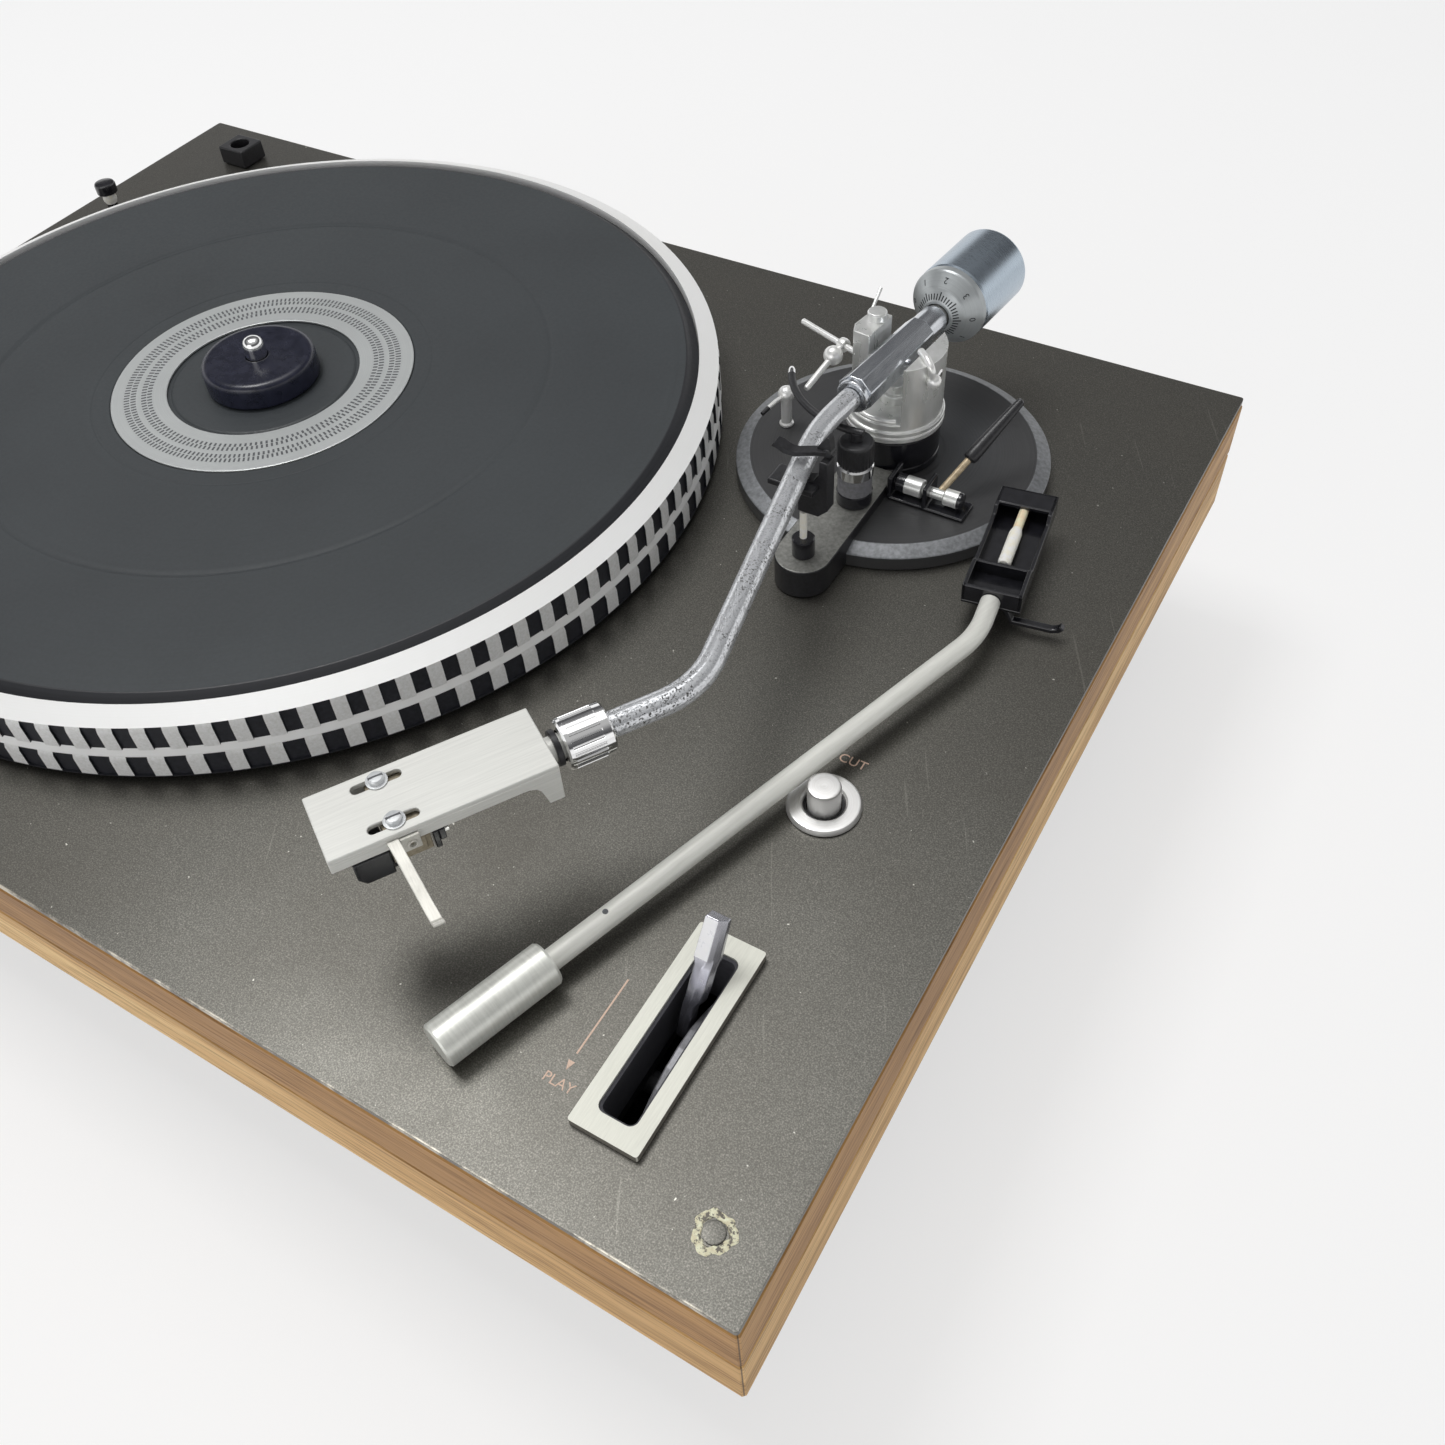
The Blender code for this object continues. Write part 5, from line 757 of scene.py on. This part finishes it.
def make_arm():
    body = loft([octagon(11.5, -24.5), octagon(10.2, 12.7)])
    nose = turned([(5.3, -24), (5.3, -26.1), (4.9, -26.5), (3.5, -26.5)], 48)
    stub = turned([(4.7, 12), (4.7, 21.2), (4.2, 22.4), (3.9, 22.7)], 48)
    piece("housing_body", together(body, nose, stub), "housing", "arm_wand", LINE_BACK, "bearing_housing",
          0.35)
    first = Vector((0, -44.5, 0))
    second = first + heading(radians(17.5)) * 104.6
    end = second + heading(radians(-26.3)) * 32.5
    path = bent([(0, -26.8, 0), first, second, end], (60, 26), 20)
    piece("tube_bent", swept(path, 3.4, 40), "worn_chrome", "arm_wand", LINE, "arm_tube")
    shaft = turned([(3.7, 13), (3.9, 13.2), (3.9, 49.2), (3.6, 49.5)], 40)
    piece("shaft_turned", shaft, "steel", "arm_wand", LINE_BACK, "rear_shaft")


def words(text, size, depth=0.06):
    """Flat letters as a mesh, in millimetres."""
    curve = bpy.data.curves.new("words", "FONT")
    curve.body = text
    curve.size = size
    curve.align_x = curve.align_y = "CENTER"
    curve.extrude = depth
    curve.resolution_u = 3
    holder = new_object("words", curve)
    mesh = bpy.data.meshes.new_from_object(holder.evaluated_get(bpy.context.evaluated_depsgraph_get()))
    bm = bmesh.new()
    bm.from_mesh(mesh)
    bpy.data.objects.remove(holder, do_unlink=True)
    bpy.data.curves.remove(curve)
    bpy.data.meshes.remove(mesh)
    return painted(bm, 0)


def make_balance():
    dial = [(4.3, 23.5), (5, 23.5), (5.3, 23.7), (8.2, 25.6), (8.6, 26), (12.1, 29.5), (12.55, 30.1),
            (12.6, 30.5), (12.6, 32.3), (12.4, 32.5), (4.3, 32.5)]
    piece("dial_turned", turned(dial, 128, True), "dial", "balance_dial", LINE_BACK, "force_dial")
    marks = []
    for i in range(40):
        length = 2.6 if i % 5 == 0 else 1.9
        mark = block((0.2, -0.2, -0.08), (0.2 + length, 0.2, 0.1))
        mark.transform(rotation(tau * i / 40) @ shift((5.3, 0, 23.75)) @ rotation(radians(-33.3), "Y"))
        marks.append(mark)
    for i in range(8):
        number = words(str(i % 4), 2.9, 0.05)
        number.transform(rotation(tau * i / 8)
                         @ frame_of((10.4, 0, 27.79), (0, -1, 0), (-0.707, 0, -0.707), (0.707, 0, -0.707)))
        marks.append(number)
    piece("dial_marks", together(*marks), "ink_black", "balance_dial", LINE_BACK, ())
    weight = [(4.3, 49.9), (4.3, 32.8), (12.2, 32.8), (12.7, 33.3), (12.7, 57.6), (12.4, 58.3), (11.8, 58.6),
              (9.6, 58.6), (9.2, 58.2), (9, 57.4), (1, 57.4)]
    piece("weight_turned", turned(weight, 128), "weight", "balance_weight", LINE_BACK, "counterweight")


def make_lock():
    rows = ((0, 4, 0), (0, 6, 0), (0.5, 6.5, 0), (1.4, 6.6, 0), (1.5, 6.6, 0.35), (9.4, 6.6, 0.35),
            (9.5, 6.6, 0), (11.6, 6.5, 0), (12.1, 6, 0), (12.1, 3.9, 0))
    piece("lock_knurled", fluted(rows, 144, (0, 0, 0, 0, 1, 1), True), "chrome", "lock_ring", SHELL_AXIS,
          "locking_collar")


# Headshell, cartridge and finger lift

SHELL_HALF = 10
SHELL_TIP = -58.8
SHELL_ROOT = -3.9
SLOT_X = 6.35


def make_shell():
    slots = [[(x + side * SLOT_X, y - 42.35) for x, y in rounded(1.3, 6.05, 1.25)][::-1] for side in (-1, 1)]
    top = plate(box_outline(-SHELL_HALF, SHELL_TIP, SHELL_HALF, SHELL_ROOT), slots, 4.6, 6)
    profile = [(SHELL_TIP, 1.5), (SHELL_TIP, 4.7), (SHELL_ROOT, 4.7), (SHELL_ROOT, -6), (-7.7, -6),
               (-8.4, -3.2), (-9.2, -0.6), (-10.2, 0.7), (-11.8, 1.4), (-13.5, 1.5)]
    sides = [prism(profile, start, start + 1.4, "X") for start in (-SHELL_HALF, SHELL_HALF - 1.4)]
    ends = [block((-9.5, SHELL_TIP, 1.5), (9.5, -57.4, 4.7)), block((-9.5, -5.6, -6), (9.5, SHELL_ROOT, 4.7))]
    plug = aimed(turned([(3.3, 0), (3.3, 4.4), (5.2, 4.4), (5.2, 5)], 40), (0, -1, 0), (0, 0.2, 0))
    piece("shell_body", together(top, *sides, *ends, plug), "shell", "head", SHELL, "headshell",
          0.25)
    washer = aimed(turned([(4.6, 0), (4.6, 1.5)], 40), (0, -1, 0), (0, -0.6, 0))
    piece("shell_washer", washer, "black", "head", SHELL, (), 0.2)
    head = [(1.2, 2), (1.2, 6), (2.5, 6), (2.6, 6.15), (2.6, 6.4), (1.9, 6.45), (1.9, 7.3), (1.6, 7.7),
            (0.5, 7.8)]
    screws = []
    for side in (-1, 1):
        # Each screw's slot is a dark bar: painted shade for the groove.
        groove = painted(block((-0.24, -1.75, 7.3), (0.24, 1.75, 7.84)), 1)
        screws += [moved(part, (side * SLOT_X, -42.1, 0)) for part in (turned(head, 32), groove)]
    piece("shell_screws", together(*screws), "screw tick", "head", SHELL, ())


def make_cartridge():
    nose = prism([(-54.3, -1), (-54.3, -6.6), (-52.6, -9), (-45.6, -9), (-45.6, -1)], -8.4, 8.4, "X")
    keel = prism([(-52.6, -9), (-50, -12), (-36.6, -12), (-36, -6.6), (-45.6, -6.6), (-45.6, -9)], -3, 3, "X")
    pins = [block((x - 0.6, -35, -4.4), (x + 0.6, -31.2, -3.2)) for x in (-6, -2, 2, 6)]
    steps = [block((-8.4, -35.4, -6.8), (8.4, -33.9, -0.8)), block((-8.4, -33.9, -4.6), (8.4, -32.4, -0.8))]
    piece("cartridge_body", together(nose, keel, *steps), "gloss", "head", SHELL, "cartridge",
          0.3)
    ears = [block((side * 8 - 0.4, -44.2, -5.2), (side * 8 + 0.4, -37, 1.4)) for side in (-1, 1)]
    piece("mount_block", together(block((-8, -45.3, -6.3), (8, -35.8, 4.2)), *ears), "mount", "head", SHELL,
          "cartridge_mount", 0.25)
    piece("cartridge_pins", together(*pins), "chrome", "head", SHELL, (), 0.1)


def make_finger_lift():
    root = 10.3
    middle = [(root, 4.15), (13, 4.1), (17.2, 3.4), (24.6, 1.3), (29, 0.5), (31.8, 0.35), (33.2, 1.2),
              (33.6, 2.1)]
    lift = prism(strip(middle, 0.9), -45.6, -42.9, "Y")
    for vert in lift.verts:
        vert.co.y += (vert.co.x - root) * 0.085
    hole = [(p.x - 40.3, p.y + 1.7) for p in circle(0.75, 0, 20)][::-1]
    ear = plate(box_outline(-42.7, -0.3, -38.3, 4.3), [hole], 10.25, 11)
    ear.transform(Matrix(((0, 0, 1, 0), (1, 0, 0, 0), (0, 1, 0, 0), (0, 0, 0, 1))))
    bush = aimed(turned([(0.8, 0), (1.25, 0), (1.25, 0.5), (0.8, 0.5)], 28, True), (1, 0, 0),
                 (10.9, -40.3, 1.7))
    piece("lift_bent", together(lift, ear, bush), "lift", "head", SHELL, "finger_lift", 0.15)


# Lifter, cue lever and arm rest

LIFTER_PLACE = (2.4, -32.5, 0)


def make_lifter():
    cylinder = [(2.3, 13), (2.3, 25), (5, 25), (5.6, 24.5), (5.6, 21.3), (5.3, 21), (5.3, 15), (5.6, 14.7),
                (5.6, 10.8)]
    piece("lifter_base", moved(turned(cylinder, 64, False, "00110200"), LIFTER_PLACE),
          "gloss chrome drum", "case", PILLAR, "lifter_cylinder")
    rows = ((13.3, 2, 0), (25.3, 2, 0), (25.3, 5.2, 0), (25.7, 5.6, 0.25), (32.4, 5.6, 0.25), (33.2, 5, 0),
            (33.5, 4.4, 0), (33.5, 1.9, 0), (36.3, 1.8, 0))
    knob = moved(fluted(rows, 60, (0, 1)), LIFTER_PLACE)
    path = [heading(-angle) * 32.5 + Vector((0, 0, 36.3)) for angle in angles(-8, 64, 24)]
    tip = swept(path[-2:] + [path[-1] + (path[-1] - path[-2]) * 0.9], [1.25, 1.3, 0.9], 16)
    piece("lifter_arm", together(knob, swept(path, 1.2, 18), painted(tip, 1)), "black chrome", "lifter",
          PILLAR, "lifter_bar")


def make_cue():
    bracket = [(9.3, 7.1), (35, 7.1), (35, 8.1), (22.6, 8.1), (22.6, 15.3), (21.2, 15.3), (21.2, 8.1),
               (10.7, 8.1), (10.7, 15.3), (9.3, 15.3)]
    piece("cue_plate", prism(bracket, -24, -15, "Y"), "gloss", "case", PILLAR, "cue_bracket",
          0.4)
    shaft = [(1.5, 9.3), (1.7, 9.5), (1.7, 11), (2.6, 11), (3, 11.4), (3, 14.2), (3, 19.6), (2.6, 20),
             (1.7, 20), (1.7, 27), (2.4, 27), (2.7, 27.3), (2.7, 31.6), (2.7, 32.6), (2.4, 33), (0.4, 33)]
    along = (0.322, 0.815, 0.482)
    start = (24.7, 0, 0)
    rod = aimed(turned([(1.1, 0), (1.1, 14.2)], 24), along, start)
    parts = together(aimed(turned(shaft, 48, False, "222220000000222"), (1, 0, 0)), painted(rod, 1))
    piece("cue_shaft", parts, "arm tan gloss", "cue", CUE, "cue_lever", 0.15)
    grip = [(1.3, 14), (2.1, 14.5), (2.35, 15.6), (2.3, 18), (1.5, 36), (1.3, 38), (0.8, 38.6), (0.2, 38.8)]
    piece("cue_handle", aimed(turned(grip, 32), along, start), "black", "cue", CUE, "cue_grip")


def make_rest():
    post = [(1.1, 26.9), (1.1, 17), (3.1, 17), (3.5, 16.6), (3.5, 10.8)]
    piece("rest_post", moved(turned(post, 40, False, "1000"), (0, REST_Y, 0)), "gloss cream", "case",
          PILLAR, "arm_rest_post")
    outline = [(-1.6, 27.2), (5, 27.2), (8, 30.2), (8, 47.4), (5.2, 47.4), (5, 42.5), (3.4, 40), (1.2, 39.1),
               (-1.6, 39.1)]
    saddle = prism([(-9.5, 36.9), (-9.5, 38.6), (-8.9, 39), (5, 39), (5, 36.9)], -65.8, -58.1, "Y")
    piece("rest_body", together(prism(outline, -62.2, -57.8, "Y"), saddle), "black", "case", PILLAR,
          "arm_rest", edge=0.3)
    middle = [(0, 0), (-3, 0.2), (-8, 0), (-10.2, 0.9), (-12.2, 2.9), (-13.4, 3.6)]
    bar = prism(strip(middle, 1.5), -1.7, 1.7, "Y")
    for vert in bar.verts:
        vert.co.y += vert.co.x * 0.5
    barrel = aimed(turned([(1.2, -1.7), (1.5, -1.5), (1.5, 1.5), (1.2, 1.7)], 28), (0, 1, 0))
    fin = prism([(-3.6, 0.3), (-0.3, 5.4), (0.6, 5.4), (1.3, 0.3)], -1.4, 1.4, "Y")
    piece("clamp_bent", together(bar, barrel, fin), "black", "clamp", CLAMP, "arm_clamp", edge=0.25)


# Anti-skating weight and thread post

def make_antiskate():
    eye = Vector((-2.6, 0, 0))
    centre = eye + Vector((0, -0.92, -0.39)).normalized() * 4.6
    rod = aimed(turned([(1, 0), (1, 14.2), (0.75, 14.8), (0.3, 14.9)], 20), (0.18, -0.94, -0.28), centre)
    loop = turned([(1.35, -1.1), (2.1, -1.1), (2.3, 0), (2.1, 1.1), (1.35, 1.1)], 32, True)
    piece("skate_weight", together(ball(3.1, centre), rod, aimed(loop, (1, 0, 0), eye)), "satin_silver",
          "hanging_weight", SWING, "antiskate_weight")


def make_thread_post():
    stem = turned([(2.4, 7.1), (2.4, 7.7), (1.8, 8.3), (1.8, 17.2), (1.6, 17.6)], 32)
    path = [(1.5, 3.5, 19), (0.4, 0.8, 19), (-1.2, -5, 18.9), (-2, -8.6, 18.4)]
    tip = painted(swept([path[-1], (-2.6, -11.7, 17.9)], [0.8, 0.7], 16), 1)
    piece("thread_hook", together(stem, ball(2.8, (0, 0, 19)), swept(path, 0.75, 16), tip),
          "satin_silver black", "case", POST, "thread_post")


# Controls on the deck

def make_button():
    button = [(4.5, -16), (4.5, 8.2), (4.3, 8.8), (3.8, 9), (0.3, 8.9)]
    piece("button_turned", turned(button, 64), "button", "cut", CUT, "cut_button")
    flange = [(5.6, 0.3), (10.1, 0.3), (10.1, 0.9), (9.6, 1.9), (9.2, 2), (6.3, 2), (5.8, 1.6), (5.6, 1.2)]
    piece("flange_turned", turned(flange, 96, True), "button", "case", CUT, "cut_flange")
    well = turned([(4.8, -1.6), (5.6, -1.6), (5.6, 0.6), (4.8, 0.6)], 64, True)
    piece("button_well", well, "black", "case", CUT)


def make_bezel():
    place = shift((PLAY_PLACE.x, PLAY_PLACE.y, DECK_TOP))
    half_x, half_y = 9.3, 29.2
    brushed = plate(rounded(half_x, half_y, 0.8), [rounded(5.2, 24, 2.2)[::-1]], 0.3, 2.6)
    for face in brushed.faces:
        middle = face.calc_center_median()
        outside = abs(middle.x) > half_x - 0.1 or abs(middle.y) > half_y - 0.1
        face.material_index = 1 if outside and abs(face.normal.z) < 0.5 else 0
    piece("bezel_brushed", brushed, "bezel bezel_side", "case", place, "lever_bezel",
          0.3)
    rows = ((5.15, 23.95, 2.2, 1.9), (5.15, 23.95, 2.2, -13.5), (4.85, 20.6, 1.8, -13.5),
            (4.85, 21.6, 1.8, -6), (4.8, 22.6, 1.8, -1.2), (4.5, 23.3, 1.8, 1.4))
    rings = [[(x, y, height) for x, y in rounded(wide, deep, corner)] for wide, deep, corner, height in rows]
    piece("slot_lining", loft(rings, closed=True), "lining", "case", place)


def lever_ring(wide, half, faceted):
    """The lever seen along it: round below, and above with a flat front and a slope on its right."""
    if faceted:
        shares = ((1, 1), (0, 1), (-1, 1), (-1, 0), (-1, -1), (0.3, -1), (0.65, -0.4), (1, 0.2))
    else:
        shares = ((0.75, 0.8), (0, 1), (-0.75, 0.8), (-1, 0), (-0.75, -0.8), (0, -1), (0.75, -0.8), (1, 0))
    return [(x * wide, y * half) for x, y in shares]


def make_lever():
    along = Vector((0, 17, 29)).normalized()
    across = Vector((0, along.z, -along.y))
    sections = ((6.3, 22, -3.1, 0.9, 2.3, 0), (10.8, 29.8, -3.1, 0.9, 2.5, 0),
                (12, 31.8, -3, 2.4, 2.7, 0), (14.4, 35.8, -2.9, 2.9, 2.7, 0),
                (16.6, 39.6, -2.8, 2.9, 2.5, 0), (17.6, 41.4, -2.7, 2.9, 2.2, 1),
                (23.1, 50.7, -2.5, 2.9, 1.7, 1), (23.3, 51, -2.3, 2.7, 1.5, 1))
    rings = []
    for y, z, left, right, half, faceted in sections:
        centre = Vector(((left + right) / 2, y, z))
        ring = lever_ring((right - left) / 2, half, faceted)
        rings.append([centre + Vector((x, 0, 0)) + across * reach for x, reach in ring])
    paddle = loft(rings)
    paddle.normal_update()
    # The flat front facet takes the pale finish, a painted highlight.
    for face in paddle.faces:
        if abs(face.normal.dot(across)) > 0.97 and face.calc_center_median().z > 42:
            face.material_index = 1
    piece("lever_paddle", paddle, "lever lever_face", "play", PLAY, "play_lever", 0.2)


def make_small_things():
    lamp = [(3.2, 0.3), (3.2, 0.9), (2.2, 1.3), (2.2, 6.4), (2.8, 7.6), (2.9, 8.5), (2.7, 9.6), (2.2, 10.4),
            (2.2, 11), (4, 11), (4.3, 11.3), (4.3, 14.6), (4, 15.2), (3.3, 15.5), (0.4, 15.5)]
    piece("lamp_turned", turned(lamp, 48, False, "00011111000000"), "gloss cream", "case", LAMP,
          "strobe_lamp")
    socket = [p.xy for p in circle(4.2, 0, 40)][::-1]
    piece("holder_block", plate(box_outline(-7, -6.5, 7, 6.5), [socket], 0.3, 7.8), "black", "case", HOLDER,
          "headshell_holder", edge=0.5)
    rows = ((0.3, 10.8, 0), (0.6, 11, 0.3), (10.6, 11, 0.3), (11.5, 10.6, 0), (12, 10, 0), (11.8, 8, 0),
            (11.8, 0.6, 0))
    pointer = painted(block((-0.3, 3, 11.7), (0.3, 9.6, 11.95)), 1)
    piece("knob_turned", together(fluted(rows, 120, (0, 1)), pointer), "knob tick", "speed", KNOB,
          "speed_knob")


# Printing and marks on the deck

def make_deck_marks():
    line = block((176.65, -138.3, -0.06), (177.1, -116.2, 0.06))
    arrow = prism([(176, -140.4), (177.8, -140.4), (176.95, -142.9)], -0.06, 0.06)
    label = moved(words("PLAY", 3.7), (177.3, -146.4, 0))
    other = moved(words("CUT", 4.1), (194.2, -30.9, 0))
    piece("deck_print", together(line, arrow, label, other), "ink", "case", DECK, ())
    spot = turned([(2.2, 0.02), (2.65, 0.05), (2.65, 0.32), (2.3, 0.42), (0.3, 0.42)], 40)
    glue = turned([(2.9, 0.02), (4.9, 0.02), (4.6, 0.16), (3.9, 0.28), (3.1, 0.2)], 56, True)
    for vert in glue.verts:
        angle = atan2(vert.co.y, vert.co.x)
        vert.co.xy *= 1 + 0.07 * sin(3 * angle + 0.6) + 0.05 * sin(7 * angle) + 0.03 * sin(13 * angle)
    piece("deck_pad", spot, "deck", "case", PAD, ())
    piece("deck_glue", glue, "glue", "case", PAD, ())


# Record cleaning arm

def make_cleaner():
    weight = [(0.5, 0), (5.3, 0), (5.85, 0.5), (5.85, 31.4), (5.3, 32.1), (3.2, 32.1), (3.2, 20.1),
              (0.5, 20.1)]
    piece("weight_brushed", aimed(turned(weight, 72), (0, 1, 0)), "cleaner_weight", "cleaner", CLEANER,
          "cleaner_weight")
    corner = Vector((0, 183.3, 0))
    end = corner - heading(radians(26.5)) * 14
    path = bent([(0, 20.4, 0), corner, end], (30,), 16)
    # The dark disc on the tube stands for its hole: painted shade inside it.
    hole = painted(moved(turned([(0.75, 2.6), (0.75, 2.93), (0.2, 2.94)], 20), (0, 49.8, 0)), 1)
    piece("tube_satin", together(swept(path, 2.9, 36), hole), "satin tick", "cleaner", CLEANER,
          "cleaner_tube")


def make_cleaner_head():
    half, top, low, floor = 8.7, 4.1, -2.9, -1.7
    near_end, far_end, wall = 0.3, 45.8, 1.2
    base = block((-half, near_end, low), (half, far_end, floor))
    profile = [(near_end, floor - 0.2), (near_end, top), (12, top), (13.5, top - 2), (34.5, top - 2),
               (36.5, top), (far_end, top), (far_end, floor - 0.2)]
    sides = [prism(profile, start, start + wall, "X") for start in (-half, half - wall)]
    walls = [block((-half, start, floor - 0.2), (half, start + wall, height))
             for start, height in ((near_end, top), (12.8, 2.6), (far_end - wall, top))]
    lid = block((-half, 38.3, 2.6), (half, far_end, top))
    hook = prism(strip([(4, -2.1), (6.5, -6.9), (18, -6.9), (20, -6.2), (21, -4.9)], 1.6), 0.6, 2.8, "Y")
    piece("head_moulded", together(base, *sides, *walls, lid, hook), "gloss", "cleaner", CLEANER_HEAD,
          "cleaner_head", 0.3)
    pin = [(0.3, 14.5), (1.5, 14.5), (1.95, 15.2), (1.95, 28.2), (1.7, 29.4), (1.4, 30.4), (1.4, 42.6),
           (1, 43.4), (0.3, 43.6)]
    piece("pin_turned", aimed(turned(pin, 32, False, "00000111"), (0, 1, 0), (0, 0, 1.6)),
          "cream peach", "cleaner", CLEANER_HEAD, "cleaner_pin")
    wire = swept([(-7.4, 14.6, -0.9), (7.4, 14.6, -0.9)], 0.6, 14)
    piece("head_wire", wire, "tan", "cleaner", CLEANER_HEAD, ())


# Light, floor and camera

FLOOR_HALF = 4000
FLOOR_WHITE = 0.62
# The sky's colours, by height, and the lamps: place, target, size and power
SKY = ((0, (1, 1, 1, 1)), (0.27, (1, 1, 1, 1)), (0.37, (0.06, 0.06, 0.063, 1)), (0.6, (0.13, 0.13, 0.135, 1)),
       (0.85, (0.48, 0.48, 0.48, 1)))
LIGHTS = {
    "key": ((-0.5, 0, 1.7), (0.05, 0, 0.1), (0.55, 0.55), 9.2),
    "overhead": ((-0.2, 0.25, 1.65), (0.1, -0.05, 0.1), (1.1, 1.1), 5.5),
    "fill": ((0.1, -1.8, 0.8), (0, 0, 0.08), (1.4, 1), 6),
}


def make_floor():
    """A pale floor that keeps the shadow, and shows part of its white to the rays that see it."""
    bm = block((-FLOOR_HALF, -FLOOR_HALF, -10), (FLOOR_HALF, FLOOR_HALF, 0))
    bm.transform(Matrix.Scale(MM, 4))
    mesh = new_mesh("floor", bm)
    shader = new_shader("pale_floor")
    feed(shader, {"Base Color": [0.95, 0.95, 0.95, 1], "Roughness": 0.9})
    bump(shader, noise(local(shader), 300), 0.02, 0.1)
    tree = shader.id_data
    path = add("LightPath", {}, tree).outputs
    seen = sums("MAXIMUM", path["Is Camera Ray"],
                sums("MAXIMUM", path["Is Glossy Ray"], path["Is Transmission Ray"]))
    both = add("MixShader", {0: times(seen, FLOOR_WHITE), 1: shader.outputs["BSDF"],
                             2: add("Emission", {}, tree).outputs["Emission"]})
    feed(tree.nodes["Material Output"], {"Surface": both.outputs["Shader"]})
    mesh.materials.append(MATERIALS["pale_floor"])
    floor = new_object("floor", mesh)


def make_world():
    world = bpy.data.worlds.new("studio")
    bpy.context.scene.world = world
    world.use_nodes = True
    background = world.node_tree.nodes["Background"]
    feed(background, {"Color": ramp(axes(background, "Generated")[2], SKY, tuple)})


def make_light(name, place, target, size, power):
    data = bpy.data.lights.new(name, "AREA")
    data.shape = "RECTANGLE"
    data.size, data.size_y = size
    data.energy = power
    direction = Vector(target) - Vector(place)
    light = new_object(name, data)
    light.matrix_world = shift(place) @ direction.to_track_quat("-Z", "Y").to_matrix().to_4x4()


def make_camera():
    data = bpy.data.cameras.new("camera")
    data.lens = CAMERA_LENS
    data.sensor_width = CAMERA_SENSOR
    data.shift_x, data.shift_y = CAMERA_SHIFT
    data.clip_start = 0.01
    camera = new_object("camera", data)
    camera.matrix_world = frame_of(CAMERA_PLACE, CAMERA_RIGHT, CAMERA_UP, CAMERA_BACK)
    bpy.context.scene.camera = camera


def build():
    make_camera()
    make_materials()
    make_floor()
    make_world()
    for name, settings in LIGHTS.items():
        make_light(name, *settings)
    dress_nodes()
    for step in (make_platter, make_mat, make_label, make_adapter, make_arm_base, make_yoke, make_arm,
                 make_balance, make_lock, make_shell, make_cartridge, make_finger_lift, make_lifter, make_cue,
                 make_rest, make_antiskate, make_thread_post, make_button, make_bezel, make_lever,
                 make_small_things, make_deck_marks, make_cleaner, make_cleaner_head):
        step()
    bpy.context.scene.view_settings.view_transform = "Standard"


build()
